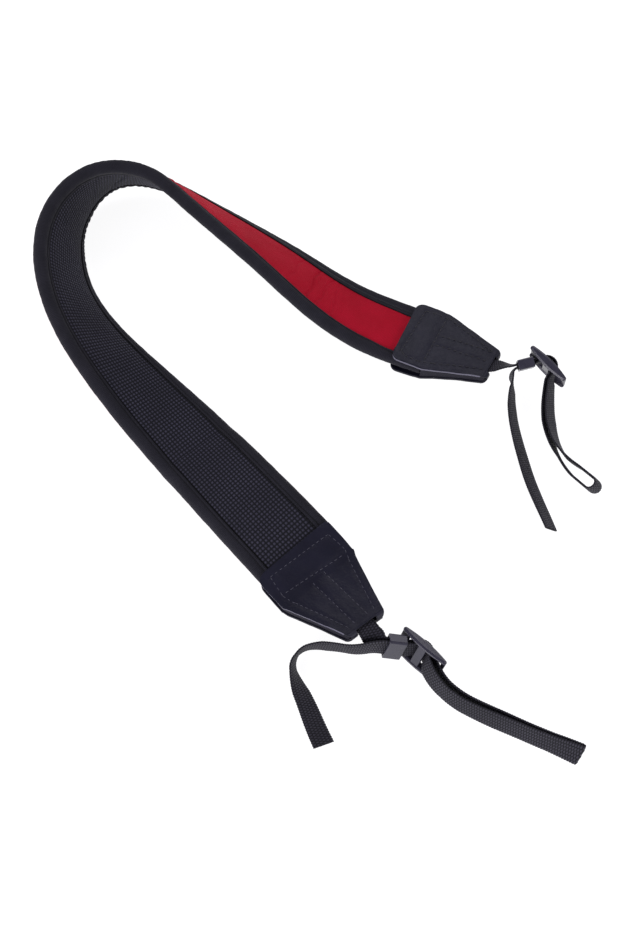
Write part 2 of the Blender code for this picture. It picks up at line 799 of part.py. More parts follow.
def main():
    for old in list(bpy.data.objects):
        bpy.data.objects.remove(old)
    collection = bpy.data.collections.new("camera_neck_strap")
    scratch = bpy.data.collections.new("cutters")
    bpy.context.scene.collection.children.link(collection)
    bpy.context.scene.collection.children.link(scratch)
    ribbon = band_ribbon()
    make_band(ribbon, collection)
    make_leather_end("leather_end_lower", ribbon, True, collection)
    make_leather_end("leather_end_upper", ribbon, False, collection)
    for end in (LOWER_END, UPPER_END):
        route, places = end_frames(end, ribbon)
        make_webbing(end, ribbon, route, places, collection)
        make_keeper(end, route, places, collection)
        make_buckle(end, route, places, collection, scratch)
    low, high = world_bounds(collection.objects)
    centre = bpy.data.objects.new("strap_origin", None)
    collection.objects.link(centre)
    for piece in list(collection.objects) + list(scratch.objects):
        if piece is not centre:
            piece.parent = centre
    centre.location = (-(low[0] + high[0]) / 2, -(low[1] + high[1]) / 2, -low[2])
    bpy.context.view_layer.update()


main()
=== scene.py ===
import math
from collections import namedtuple

import bmesh
import bpy
import numpy as np
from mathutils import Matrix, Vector


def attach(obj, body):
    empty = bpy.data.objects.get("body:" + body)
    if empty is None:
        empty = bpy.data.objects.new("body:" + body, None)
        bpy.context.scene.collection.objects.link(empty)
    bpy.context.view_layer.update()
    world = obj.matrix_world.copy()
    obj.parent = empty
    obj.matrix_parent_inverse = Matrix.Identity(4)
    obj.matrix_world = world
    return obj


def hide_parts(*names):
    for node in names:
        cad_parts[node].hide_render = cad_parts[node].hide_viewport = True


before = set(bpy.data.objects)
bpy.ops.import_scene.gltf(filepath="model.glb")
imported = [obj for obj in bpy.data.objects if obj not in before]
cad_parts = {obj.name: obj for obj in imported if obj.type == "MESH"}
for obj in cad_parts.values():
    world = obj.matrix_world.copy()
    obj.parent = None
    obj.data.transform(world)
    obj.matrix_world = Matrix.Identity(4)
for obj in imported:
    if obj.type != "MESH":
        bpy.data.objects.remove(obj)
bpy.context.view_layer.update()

MM = 0.001
WELD_REACH = 1e-6


# Sizes, the same as the solids'
ORIGIN = np.array([25.118, -104.596, 1.403]) * MM
BAND_LENGTH = 541.0 * MM
BAND_WIDTH = 40.0 * MM
BAND_THICKNESS = 6.9 * MM
LINING_THICKNESS = 1.0 * MM
BINDING_WALL = 0.8 * MM
GAP = 0.3 * MM
LEATHER_THICKNESS = 1.2 * MM
HIDE_THICKNESS = 0.9 * MM
LEATHER_LENGTH = 47.3 * MM
LEATHER_TAPER = 30.5 * MM
LEATHER_OVERHANG = 0.8 * MM
LEATHER_TIP_WIDTH = 20.2 * MM
LEATHER_TIP_HEIGHT = 4.6 * MM
LEATHER_HEIGHT = 8.2 * MM
LEATHER_CORNER = 4.0 * MM
EAR_ROUND = 1.8 * MM
FLUSH_CORNER = 1.6 * MM
FLUSH_OVERHANG = -0.5 * MM
NEAR_LIP = 0.95
SLOT_DEPTH = 2.2 * MM
SLOT_CLEARANCE = 0.9 * MM
SQUEEZE_LENGTH = 14.0 * MM
WEBBING_WIDTH = 10.0 * MM
WEBBING_THICKNESS = 1.2 * MM
ARCH_RADIUS = 4.2 * MM
KEEPER_LENGTH = 7.6 * MM
KEEPER_WALL = 0.9 * MM
KEEPER_CLEARANCE = 0.3 * MM
BUCKLE_LENGTH = 23.0 * MM
RAIL_HEIGHT = 1.9 * MM
RAIL_MIDDLE = 4.4 * MM
RAIL_END = 2.4 * MM
RAIL_CLEARANCE = 0.5 * MM
MIDDLE_BAR_WIDTH = 4.0 * MM
MIDDLE_BAR_DEPTH = 3.35 * MM
NEAR_BAR_WIDTH = 4.2 * MM
FAR_BAR_WIDTH = 1.9 * MM
END_BAR_INSET = 0.1 * MM
END_BAR_DEPTH = 1.0 * MM
LAYER = (WEBBING_THICKNESS + GAP) / 2

# Rounding of the moulded pieces
KEEPER_BORE_ROUND = 0.15 * MM
KEEPER_RIM_ROUND = 0.22 * MM
RAIL_ROUND = 0.42 * MM
RAIL_DOME = 0.42 * MM
BAR_ROUND = 0.1 * MM
BAR_EDGE = 0.35 * MM

# Surface detail
WORN_EDGE = 0.30 * MM
SIDE_CLOTH = 0.5 * MM
BINDING_STEP = 0.62 * MM
GATHER_PITCH = 3.7 * MM
GATHER_HEIGHT = 0.50 * MM
GROOVE_AT = 1.6 * MM
GRID_ALONG = 1.79 * MM
GRID_ACROSS = 1.66 * MM
GRID_RELIEF = 0.26 * MM
RIB_PITCH = 1.12 * MM
WARP_PITCH = 1.667 * MM
RIB_SHARE = 0.45

BandRow = namedtuple("BandRow", "share heading lean lift")
BAND_ROUTE = (
    BandRow(0.00, 132, 14, 0.175),
    BandRow(0.09, 131, -7, 0.200),
    BandRow(0.18, 129, -6, 0.100),
    BandRow(0.27, 133, 11, 0.000),
    BandRow(0.35, 129, 32, 0.000),
    BandRow(0.42, 113, 52, 0.000),
    BandRow(0.48, 90, 71, 0.000),
    BandRow(0.53, 65, 95, 0.000),
    BandRow(0.58, 17, 122, 0.100),
    BandRow(0.63, -29, 124, 0.025),
    BandRow(0.70, -39, 136, 0.000),
    BandRow(0.79, -42, 151, 0.075),
    BandRow(0.89, -24, 170, 0.000),
    BandRow(1.00, -28, 169, 0.000),
)
HeightRow = namedtuple("HeightRow", "share height")
LEATHER_PROFILE = (
    HeightRow(0.00, 0.56),
    HeightRow(0.30, 0.71),
    HeightRow(0.64, 0.90),
    HeightRow(1.00, 1.00),
)
Turn = namedtuple("Turn", "share bend twist edge")
End = namedtuple(
    "End",
    "name exit pitch roll stub_length stub link link_bend link_twist wrap_in wrap_out leg leg_turn "
    "loop_length loop loop_gap tail_length tail",
)
LOWER_END = End(
    name="lower",
    exit=2.2 * MM,
    pitch=3,
    roll=-4,
    stub_length=13.3 * MM,
    stub=(Turn(0.36, 17, 10, -4), Turn(0.34, 19, 62, 9), Turn(0.30, 29, 1, 23)),
    link=5.3 * MM,
    link_bend=21,
    link_twist=0,
    wrap_in=65,
    wrap_out=56,
    leg=4.0 * MM,
    leg_turn=(24, -3),
    loop_length=71.0 * MM,
    loop=(
        Turn(1 / 6, 29, 9, 0),
        Turn(1 / 6, 21, -3, 0),
        Turn(1 / 6, 4, -5, 0),
        Turn(1 / 6, 0, 0, 0),
        Turn(1 / 6, 2, -4, 0),
        Turn(1 / 6, -3, -13, 0),
    ),
    loop_gap=(2.1, 1.9, 1.7, 1.5, 1.2, 1.0, 1.0),
    tail_length=79.5 * MM,
    tail=(
        Turn(0.10, 7, -7, -24),
        Turn(0.12, -25, -3, -3),
        Turn(0.11, 8, 0, 2),
        Turn(0.08, 14, -10, -1),
        Turn(0.08, 41, -10, 0),
        Turn(0.09, 55, 12, 0),
        Turn(0.12, 12, 29, 0),
        Turn(0.14, -5, 11, 0),
        Turn(0.16, 9, 8, 0),
    ),
)
UPPER_END = End(
    name="upper",
    exit=3.2 * MM,
    pitch=16,
    roll=2,
    stub_length=15.1 * MM,
    stub=(Turn(0.36, 7, -10, -7), Turn(0.34, -9, -23, -8), Turn(0.30, 20, -11, -10)),
    link=5.3 * MM,
    link_bend=-3,
    link_twist=-11,
    wrap_in=58,
    wrap_out=78,
    leg=5.4 * MM,
    leg_turn=(29, 22),
    loop_length=60.0 * MM,
    loop=(
        Turn(1 / 6, 4, 7, 0),
        Turn(1 / 6, 10, 4, 0),
        Turn(1 / 6, 12, -5, 0),
        Turn(1 / 6, 15, -9, 0),
        Turn(1 / 6, 12, 6, 0),
        Turn(1 / 6, 0, 0, 0),
    ),
    loop_gap=(1.1, 1.2, 1.4, 1.4, 1.9, 3.6, 3.7),
    tail_length=88.0 * MM,
    tail=(
        Turn(0.07, 84, 1, 17),
        Turn(0.08, -15, 25, 10),
        Turn(0.10, 9, 10, 0),
        Turn(0.12, 8, 5, 0),
        Turn(0.13, 3, 4, -1),
        Turn(0.13, 1, 2, -1),
        Turn(0.13, 5, 2, -1),
        Turn(0.12, 2, -1, 0),
        Turn(0.12, -1, -2, 0),
    ),
)

# The camera, from the photo's angle
CAMERA_TILT = 61.0
CAMERA_REACH = 490 * MM
CAMERA_TARGET = (1.118 * MM, -18.896 * MM, 1.403 * MM)
CAMERA_LENS = 40.37
LIGHT_COLOUR = (0.95, 0.93, 1.0)
SKY_COLOUR = (0.88, 0.86, 1.0, 1)
SKY_STRENGTH = 0.30
Light = namedtuple("Light", "name place_mm size power")
LIGHTS = (
    Light("key", (-700, -900, 520), (0.9, 0.7), 14),
    Light("side", (1000, -500, 520), (0.8, 0.7), 4),
    Light("back", (250, 1000, 900), (1.2, 0.7), 7),
)

# Sewing lines on each leather end: distance from the tip and place across, in mm, point by point
LOWER_SEAMS = (
    ((44.1, 15.6), (42.3, -15.7)),
    ((34.7, 15.5), (31.7, -14.1)),
    ((30.7, 3.7), (4.0, 4.1)),
    ((31.6, -3.2), (4.0, -3.3)),
    ((44.1, 15.6), (34.5, 17.2), (28.0, 15.4), (4.0, 7.6)),
    ((42.3, -15.7), (33.0, -16.8), (28.0, -15.2), (4.0, -7.4)),
)
UPPER_SEAMS = (
    ((42.0, -17.0), (44.0, 14.7)),
    ((31.0, -18.1), (31.4, 14.4)),
    ((29.5, -4.2), (4.3, -7.0)),
    ((29.8, 2.9), (4.4, 0.2)),
    ((42.0, -17.0), (30.2, -17.8), (3.6, -7.6)),
    ((44.0, 14.7), (41.3, 16.7), (34.0, 17.0), (27.1, 14.9), (3.6, 6.0)),
)
Thread = namedtuple("Thread", "radius length gap")
LOWER_THREAD = Thread(0.15 * MM, 1.6 * MM, 0.9 * MM)
UPPER_THREAD = Thread(0.25 * MM, 2.1 * MM, 1.0 * MM)


# Curves and frames


def smooth_through(places, values, x):
    """Cubic through the rows of a table: slopes at the inner rows are weighted mean differences."""
    places = np.asarray(places, float)
    values = np.asarray(values, float)
    width = np.diff(places)
    slope = np.diff(values) / width
    inner = (slope[:-1] * width[1:] + slope[1:] * width[:-1]) / (width[:-1] + width[1:])
    tangent = np.concatenate([slope[:1], inner, slope[-1:]])
    i = np.clip(np.searchsorted(places, x, side="right") - 1, 0, len(width) - 1)
    u = (x - places[i]) / width[i]
    return (
        (1 + 2 * u) * (1 - u) ** 2 * values[i]
        + u * (1 - u) ** 2 * width[i] * tangent[i]
        + u * u * (3 - 2 * u) * values[i + 1]
        + u * u * (u - 1) * width[i] * tangent[i + 1]
    )


def turned(vector, axis, angle):
    """The vector turned about the axis by an angle in radians."""
    cosine = math.cos(angle)
    sine = math.sin(angle)
    return vector * cosine + np.cross(axis, vector) * sine + axis * np.dot(axis, vector) * (1 - cosine)


def unit(rows):
    """Rows of vectors made one long."""
    return rows / np.linalg.norm(rows, axis=-1, keepdims=True)


def smoothstep(x, low, high):
    """0 below low, 1 above high, smooth between."""
    t = np.clip((x - low) / (high - low), 0, 1)
    return t * t * (3 - 2 * t)


def ripple(x, y, scale, seed):
    """A gentle uneven field from -1 to 1, with lumps about scale in size."""
    total = 0.0
    for k in range(5):
        turn = 2.4 * k + 0.7 * seed
        freq = (1.0 + 0.37 * k) / scale
        phase = 1.9 * k * k + 2.3 * seed
        run = x * math.cos(turn) + y * math.sin(turn)
        total = total + np.sin(6.2832 * freq * run + phase) / (1 + 0.4 * k)
    return total / 2.9


class Ribbon:
    """Points along a strip with their direction of travel, width direction and face direction."""

    def __init__(self, arc, point, along, across):
        self.arc = np.asarray(arc)
        self.point = np.asarray(point)
        self.along = np.asarray(along)
        self.across = np.asarray(across)

    def frames(self, arcs):
        """Points, travel, width and face directions at distances along the ribbon."""
        def read(values):
            return np.stack([np.interp(arcs, self.arc, values[:, axis]) for axis in range(3)], -1)

        along = unit(read(self.along))
        across = read(self.across)
        across = unit(across - along * (across * along).sum(-1, keepdims=True))
        return read(self.point), along, across, np.cross(along, across)

    def frame(self, arc):
        """The same at one distance."""
        return tuple(rows[0] for rows in self.frames(np.array([arc])))


def band_ribbon():
    """The middle surface of the band, from the lower tip to the upper tip."""
    count = 792
    share = np.linspace(0, 1, count + 1)
    rows = np.array([tuple(row) for row in BAND_ROUTE], float)
    heading = np.radians(smooth_through(rows[:, 0], rows[:, 1], share))
    lean = np.radians(smooth_through(rows[:, 0], rows[:, 2], share))
    lift = smooth_through(rows[:, 0], rows[:, 3], share) * BAND_WIDTH
    reach = (BAND_WIDTH - BAND_THICKNESS) / 2
    height = reach * np.abs(np.sin(lean)) + BAND_THICKNESS / 2 + lift
    step = BAND_LENGTH / count
    rise = np.clip(np.gradient(height, step), -0.9, 0.9)
    level = np.sqrt(1 - rise**2)
    along = np.stack([np.cos(heading) * level, np.sin(heading) * level, rise], -1)
    flat = (along[1:, :2] + along[:-1, :2]) / 2 * step
    place = np.vstack([np.zeros((1, 2)), np.cumsum(flat, axis=0)])
    point = np.column_stack([place, height]) + ORIGIN
    left = np.stack([-np.sin(heading), np.cos(heading), heading * 0], -1)
    upward = np.cross(along, left)
    across = np.cos(lean)[:, None] * left + np.sin(lean)[:, None] * upward
    return Ribbon(share * BAND_LENGTH, point, along, across)


def follow(point, along, across, turns, steps_per_mm=2):
    """A ribbon that starts in the given frame and makes the turns: (length, bend, twist, edge)."""
    arcs = [0.0]
    points = [point]
    alongs = [along]
    acrosses = [across]
    for length, bend, twist, edge in turns:
        count = max(4, math.ceil(length / MM * steps_per_mm))
        bend_step = math.radians(bend) / count
        twist_step = math.radians(twist) / count
        edge_step = math.radians(edge) / count
        for _ in range(count):
            face = np.cross(along, across)
            along = turned(along, across, bend_step / 2)
            along = turned(along, face, edge_step / 2)
            across = turned(across, face, edge_step / 2)
            across = turned(across, along, twist_step)
            point = point + along * (length / count)
            face = np.cross(along, across)
            across = turned(across, face, edge_step / 2)
            along = turned(along, face, edge_step / 2)
            along = turned(along, across, bend_step / 2)
            across = across - along * np.dot(across, along)
            across = across / np.linalg.norm(across)
            arcs.append(arcs[-1] + length / count)
            points.append(point)
            alongs.append(along)
            acrosses.append(across)
    return Ribbon(arcs, points, alongs, acrosses)


BAND = band_ribbon()


# Meshes


def surface(name, points, uv=None, wrap=False, caps=False, mats=(), skip=None):
    """A mesh over a grid of points; wrap joins the last column to the first, caps close both ends."""
    rows, columns = points.shape[:2]
    across = columns if wrap else columns - 1
    i, j = np.meshgrid(np.arange(rows - 1), np.arange(across), indexing="ij")
    k = (j + 1) % columns
    faces = np.stack([i * columns + j, i * columns + k, (i + 1) * columns + k, (i + 1) * columns + j], -1)
    keep = np.ones(i.shape, bool) if skip is None else ~skip(i, j)
    faces = faces[keep]
    mesh = bpy.data.meshes.new(name)
    polygons = faces.tolist()
    if caps:
        polygons.append(list(range(columns))[::-1])
        polygons.append([(rows - 1) * columns + c for c in range(columns)])
    mesh.from_pydata(points.reshape(-1, 3).tolist(), [], polygons)
    if uv is not None:
        corner = np.stack([uv[i, j], uv[i, j + 1], uv[i + 1, j + 1], uv[i + 1, j]], -2)[keep]
        flat = corner.reshape(-1, 2)
        extra = len(mesh.loops) - len(flat)
        if extra:
            flat = np.vstack([flat, np.zeros((extra, 2))])
        layer = mesh.uv_layers.new(name="UVMap")
        layer.data.foreach_set("uv", flat.astype(np.float32).ravel())
    mesh.shade_smooth()
    for material in mats:
        mesh.materials.append(material)
    made = bpy.data.objects.new(name, mesh)
    bpy.context.scene.collection.objects.link(made)
    return made


def edited(made, change):
    """The object after a change to its mesh."""
    work = bmesh.new()
    work.from_mesh(made.data)
    change(work)
    work.to_mesh(made.data)
    work.free()
    return made


def drop_loose(made):
    """Removes points that no face uses."""
    return edited(made, lambda work: bmesh.ops.delete(
        work, geom=[v for v in work.verts if not v.link_faces], context="VERTS"))


def face_out(made):
    """Turns the faces of a closed mesh outward."""
    return edited(made, lambda work: bmesh.ops.recalc_face_normals(work, faces=work.faces))


def weld(made):
    """Joins points that lie on each other."""
    return edited(made, lambda work: bmesh.ops.remove_doubles(work, verts=work.verts, dist=WELD_REACH))


def joined(name, parts):
    """Several mesh objects as one."""
    bpy.ops.object.select_all(action="DESELECT")
    for part in parts:
        part.select_set(True)
    bpy.context.view_layer.objects.active = parts[0]
    bpy.ops.object.join()
    parts[0].name = name
    parts[0].data.name = name
    return parts[0]


def settle(made, slot, *nodes):
    """Rides and takes the place of its solids; the slot is not used."""
    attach(made, "root")
    if nodes:
        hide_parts(*nodes)
    return made


# Materials


class Shader:
    """A Principled material and short ways to add nodes to it."""

    def __init__(self, name, colour, roughness, **sockets):
        self.material = bpy.data.materials.new(name)
        self.material.use_nodes = True
        self.tree = self.material.node_tree
        self.bsdf = self.tree.nodes["Principled BSDF"]
        self.bsdf.inputs["Base Color"].default_value = (*colour, 1)
        self.bsdf.inputs["Roughness"].default_value = roughness
        for key, value in sockets.items():
            self.bsdf.inputs[key.replace("_", " ")].default_value = value

    def node(self, kind, **settings):
        made = self.tree.nodes.new(kind)
        for key, value in settings.items():
            setattr(made, key, value)
        return made

    def feed(self, socket, value):
        if isinstance(value, bpy.types.NodeSocket):
            self.tree.links.new(value, socket)
        else:
            socket.default_value = value

    def math(self, operation, a, b=None):
        made = self.node("ShaderNodeMath", operation=operation)
        self.feed(made.inputs[0], a)
        if b is not None:
            self.feed(made.inputs[1], b)
        return made.outputs[0]

    def uv(self):
        made = self.node("ShaderNodeSeparateXYZ")
        self.tree.links.new(self.node("ShaderNodeUVMap", uv_map="UVMap").outputs[0], made.inputs[0])
        return made.outputs[0], made.outputs[1]

    def place(self):
        return self.node("ShaderNodeTexCoord").outputs["Object"]

    def noise(self, size, detail=2.0, vector=None, rough=0.5):
        made = self.node("ShaderNodeTexNoise")
        self.tree.links.new(self.place() if vector is None else vector, made.inputs["Vector"])
        made.inputs["Scale"].default_value = 1 / size
        made.inputs["Detail"].default_value = detail
        made.inputs["Roughness"].default_value = rough
        return made.outputs[0]

    def cells(self, size, feature="F1", vector=None):
        made = self.node("ShaderNodeTexVoronoi", feature=feature)
        self.tree.links.new(self.place() if vector is None else vector, made.inputs["Vector"])
        made.inputs["Scale"].default_value = 1 / size
        return made.outputs["Distance"]

    def ramp(self, value, low, high, out_low=0.0, out_high=1.0):
        made = self.node("ShaderNodeMapRange")
        self.feed(made.inputs["Value"], value)
        made.inputs["From Min"].default_value = low
        made.inputs["From Max"].default_value = high
        made.inputs["To Min"].default_value = out_low
        made.inputs["To Max"].default_value = out_high
        return made.outputs[0]

    def mix(self, share, a, b):
        made = self.node("ShaderNodeMix", data_type="RGBA")
        self.feed(made.inputs["Factor"], share)
        for socket, value in ((made.inputs[6], a), (made.inputs[7], b)):
            self.feed(socket, (*value, 1) if isinstance(value, tuple) else value)
        return made.outputs[2]

    def colour(self, value):
        self.feed(self.bsdf.inputs["Base Color"], value)

    def roughness(self, value):
        self.feed(self.bsdf.inputs["Roughness"], value)

    def bump(self, height, depth):
        made = self.node("ShaderNodeBump")
        made.inputs["Strength"].default_value = 1.0
        made.inputs["Distance"].default_value = depth
        self.feed(made.inputs["Height"], height)
        current = self.bsdf.inputs["Normal"]
        if current.is_linked:
            self.tree.links.new(current.links[0].from_socket, made.inputs["Normal"])
        self.tree.links.new(made.outputs[0], current)


def weave(shader, u, v, pitch_u, pitch_v):
    """Raised tops on a square grid, 0 in the grooves and 1 on the tops."""
    a = shader.math("ABSOLUTE", shader.math("SINE", shader.math("MULTIPLY", u, math.pi / pitch_u)))
    b = shader.math("ABSOLUTE", shader.math("SINE", shader.math("MULTIPLY", v, math.pi / pitch_v)))
    return shader.math("MULTIPLY", a, b)


def grid_fabric(low, high):
    """Woven grid: lit tops, dark gaps, in the shade of the lips at its two edges."""
    s = Shader("grid_fabric", (0.02, 0.02, 0.03), 0.7, Specular_IOR_Level=0.15, Sheen_Weight=0.03)
    u, v = s.uv()
    tops = weave(s, u, v, GRID_ALONG, GRID_ACROSS)
    fine = s.noise(0.45 * MM, 3)
    patch = s.noise(22 * MM, 2)
    share = s.math("MULTIPLY", s.ramp(tops, 0.25, 0.95), s.ramp(fine, 0.3, 0.7, 0.55, 1.0))
    raised = s.mix(s.ramp(patch, 0.35, 0.65), (0.044, 0.042, 0.064), (0.058, 0.056, 0.084))
    from_lip = s.math("MINIMUM", s.math("SUBTRACT", v, low), s.math("SUBTRACT", high, v))
    shade = s.ramp(from_lip, 1.0 * MM, 1.8 * MM)
    lit = s.mix(share, (0.006, 0.006, 0.009), raised)
    s.colour(s.mix(shade, (0.0015, 0.0015, 0.002), lit))
    s.roughness(s.ramp(tops, 0.0, 1.0, 0.85, 0.6))
    s.bump(tops, 0.16 * MM)
    s.bump(fine, 0.05 * MM)
    return s.material


def red_knit():
    s = Shader("red_knit", (0.42, 0.012, 0.03), 0.8, Specular_IOR_Level=0.08, Sheen_Weight=0.02)
    s.bsdf.inputs["Sheen Tint"].default_value = (1.0, 0.35, 0.4, 1)
    u, v = s.uv()
    sway = s.math("MULTIPLY", s.math("SINE", s.math("MULTIPLY", v, 2 * math.pi / (0.9 * MM))), 0.12 * MM)
    stitch = weave(s, s.math("ADD", u, sway), v, 0.62 * MM, 0.45 * MM)
    patch = s.noise(14 * MM, 3)
    fine = s.noise(0.3 * MM, 2)
    base = s.mix(s.ramp(patch, 0.3, 0.7), (0.455, 0.006, 0.022), (0.540, 0.008, 0.030))
    s.colour(s.mix(s.ramp(stitch, 0.0, 0.5), (0.29, 0.003, 0.012), base))
    s.bump(stitch, 0.07 * MM)
    s.bump(fine, 0.03 * MM)
    return s.material


def binding_knit():
    """Knit tape with painted shade at both lips and in the sewn groove; v is the distance from the nearer
    lip.
    """
    s = Shader("binding_knit", (0.010, 0.010, 0.014), 0.8, Specular_IOR_Level=0.15, Sheen_Weight=0.06)
    u, v = s.uv()
    knit = weave(s, u, s.math("ADD", v, s.math("MULTIPLY", u, 0.5)), 0.75 * MM, 0.6 * MM)
    patch = s.noise(9 * MM, 3)
    fine = s.noise(0.35 * MM, 2)
    base = s.mix(s.ramp(patch, 0.3, 0.7), (0.014, 0.0135, 0.020), (0.021, 0.020, 0.029))
    lip = s.ramp(v, 0.05 * MM, 0.45 * MM)
    from_groove = s.math("ABSOLUTE", s.math("SUBTRACT", v, GROOVE_AT))
    shade = s.math("MULTIPLY", lip, s.ramp(from_groove, 0.05 * MM, 0.40 * MM, 0.15, 1.0))
    lit = s.mix(s.ramp(knit, 0.0, 0.6), (0.006, 0.006, 0.008), base)
    s.colour(s.mix(shade, (0.0015, 0.0015, 0.002), lit))
    s.bump(knit, 0.08 * MM)
    s.bump(fine, 0.05 * MM)
    return s.material


def side_cloth():
    s = Shader("side_cloth", (0.03, 0.029, 0.04), 0.8, Specular_IOR_Level=0.15)
    u, v = s.uv()
    knit = weave(s, s.math("ADD", u, s.math("MULTIPLY", v, 0.6)), v, 0.8 * MM, 0.7 * MM)
    fine = s.noise(0.35 * MM, 2)
    s.colour(s.mix(s.ramp(knit, 0.0, 0.6), (0.008, 0.008, 0.011), (0.028, 0.027, 0.036)))
    s.bump(knit, 0.08 * MM)
    s.bump(fine, 0.05 * MM)
    return s.material


def leather():
    s = Shader("leather", (0.010, 0.010, 0.016), 0.45, Specular_IOR_Level=0.16)
    grain = s.cells(0.95 * MM)
    crease = s.noise(2.6 * MM, 5, rough=0.6)
    pore = s.noise(0.4 * MM, 2)
    patch = s.noise(16 * MM, 3)
    s.colour(s.mix(s.ramp(patch, 0.3, 0.7), (0.008, 0.008, 0.016), (0.012, 0.012, 0.023)))
    s.roughness(s.ramp(crease, 0.3, 0.7, 0.40, 0.52))
    s.bump(s.ramp(grain, 0.0, 0.75), 0.07 * MM)
    s.bump(crease, 0.12 * MM)
    s.bump(pore, 0.03 * MM)
    return s.material


def leather_fold_painted_highlight():
    """The hide where it is folded at the tip: stretched smooth and shinier, paler by a painted highlight on
    the rounded fold.
    """
    s = Shader("leather_fold_painted_highlight", (0.018, 0.018, 0.028), 0.40, Specular_IOR_Level=0.24)
    crease = s.noise(2.2 * MM, 5, rough=0.6)
    patch = s.noise(9 * MM, 3)
    # Paler colours than the plain hide: a painted highlight of the rounded fold.
    s.colour(s.mix(s.ramp(patch, 0.3, 0.7), (0.013, 0.013, 0.022), (0.024, 0.024, 0.036)))
    s.roughness(s.ramp(crease, 0.3, 0.7, 0.34, 0.46))
    s.bump(crease, 0.10 * MM)
    return s.material


def cut_edge(name, roughness, specular, low, high):
    """Fibres at a cut edge of the hide."""
    s = Shader(name, high, roughness, Specular_IOR_Level=specular)
    fibre = s.noise(0.35 * MM, 3)
    s.colour(s.mix(s.ramp(fibre, 0.3, 0.7), low, high))
    s.bump(fibre, 0.06 * MM)
    return s.material


def webbing_weave():
    s = Shader("webbing_weave", (0.018, 0.017, 0.022), 0.65, Specular_IOR_Level=0.2, Sheen_Weight=0.03)
    u, v = s.uv()
    column = s.math("FLOOR", s.math("DIVIDE", v, WARP_PITCH))
    shifted = s.math("ADD", u, s.math("MULTIPLY", column, RIB_PITCH / 2))
    rib = s.math("ABSOLUTE", s.math("SINE", s.math("MULTIPLY", shifted, math.pi / RIB_PITCH)))
    warp = s.math("ABSOLUTE", s.math("SINE", s.math("MULTIPLY", v, math.pi / WARP_PITCH)))
    tops = s.math("MULTIPLY", rib, s.ramp(warp, 0.0, 1.0, RIB_SHARE, 1.0))
    fine = s.noise(0.28 * MM, 3)
    patch = s.noise(12 * MM, 2)
    share = s.math("MULTIPLY", s.ramp(tops, 0.28, 0.90), s.ramp(fine, 0.3, 0.7, 0.6, 1.0))
    raised = s.mix(s.ramp(patch, 0.3, 0.7), (0.034, 0.032, 0.045), (0.048, 0.045, 0.062))
    s.colour(s.mix(share, (0.004, 0.004, 0.006), raised))
    s.roughness(s.ramp(tops, 0.0, 1.0, 0.8, 0.5))
    s.bump(tops, 0.12 * MM)
    s.bump(fine, 0.04 * MM)
    return s.material


def nylon():
    s = Shader("nylon", (0.040, 0.038, 0.055), 0.34, Specular_IOR_Level=0.5)
    fine = s.noise(0.25 * MM, 3)
    cloud = s.noise(5 * MM, 3)
    s.colour(s.mix(s.ramp(cloud, 0.3, 0.7), (0.022, 0.021, 0.034), (0.031, 0.029, 0.045)))
    s.roughness(s.ramp(cloud, 0.3, 0.7, 0.24, 0.33))
    s.bump(fine, 0.02 * MM)
    return s.material


def thread(name, low, high, sheen):
    s = Shader(name, high, 0.6, Sheen_Weight=sheen)
    u, v = s.uv()
    ply = s.math("ABSOLUTE", s.math("SINE", s.math("ADD", s.math("MULTIPLY", u, math.pi / (0.55 * MM)),
                                                   s.math("MULTIPLY", v, math.pi))))
    s.colour(s.mix(s.ramp(ply, 0.1, 0.7), low, high))
    s.bump(ply, 0.05 * MM)
    return s.material


# Padded band


def leather_height(from_tip):
    """Outer height of a folded leather end at a distance from its tip."""
    rows = np.array([tuple(row) for row in LEATHER_PROFILE], float)
    share = np.clip(from_tip / LEATHER_LENGTH, 0.0, 1.0)
    return smooth_through(rows[:, 0], rows[:, 1], share) * LEATHER_HEIGHT


def band_thickness(arc):
    """Thickness of the bound band: squeezed inside the leather ends, full a little way out of them."""
    from_tip = np.minimum(arc, BAND_LENGTH - arc)
    inside = leather_height(from_tip) - 2 * (LEATHER_THICKNESS + GAP)
    out = np.clip((from_tip - LEATHER_LENGTH) / SQUEEZE_LENGTH, 0.0, 1.0)
    ease = out * out * (3 - 2 * out)
    return inside + (BAND_THICKNESS - inside) * ease


# Furrows across the covers: place as a share of the band's length, slant, depth and width
Crease = namedtuple("Crease", "share slant depth width")
PAD_CREASES = (
    Crease(0.578, 0.40, 0.55 * MM, 1.3 * MM),
    Crease(0.548, 0.15, 0.20 * MM, 1.2 * MM),
)
LINING_CREASES = (
    Crease(0.815, 0.30, 0.55 * MM, 0.75 * MM),
    Crease(0.828, 0.15, 0.42 * MM, 0.70 * MM),
    Crease(0.840, 0.35, 0.28 * MM, 0.70 * MM),
    Crease(0.793, 0.25, 0.25 * MM, 0.80 * MM),
    Crease(0.690, -0.50, 0.12 * MM, 1.2 * MM),
    Crease(0.628, 0.60, 0.65 * MM, 1.00 * MM),
    Crease(0.600, 0.10, 0.25 * MM, 1.6 * MM),
)

# Widths of the binding on the faces: grid side and red side, at the outer and the inner edge
OVERLAP = {1: (6.4 * MM, 5.6 * MM), -1: (5.9 * MM, 8.6 * MM)}
TUCK = 0.9 * MM
COVER_DROP = 0.05 * MM
PAD_CROWN = 0.75 * MM
LINING_CROWN = 0.55 * MM
LINING_DIP = 0.70 * MM
LINING_STEP = 0.4 * MM
# Step between the texture places of a cover's hidden rows
HIDDEN_UV = 4 * MM
BAND_START = LEATHER_TAPER + 3 * GAP


def place(frames, across, height):
    """Points from the band's frames: rows by columns of places across and heights."""
    point, _, wide, face = frames
    return point[:, None] + wide[:, None] * across[..., None] + face[:, None] * height[..., None]


def between_lips(face):
    """The places across where a cover begins and ends, a little under the lips of the bindings."""
    low = -(BAND_WIDTH / 2 - OVERLAP[-1][face]) - TUCK
    high = BAND_WIDTH / 2 - OVERLAP[1][face] + TUCK
    return low, high


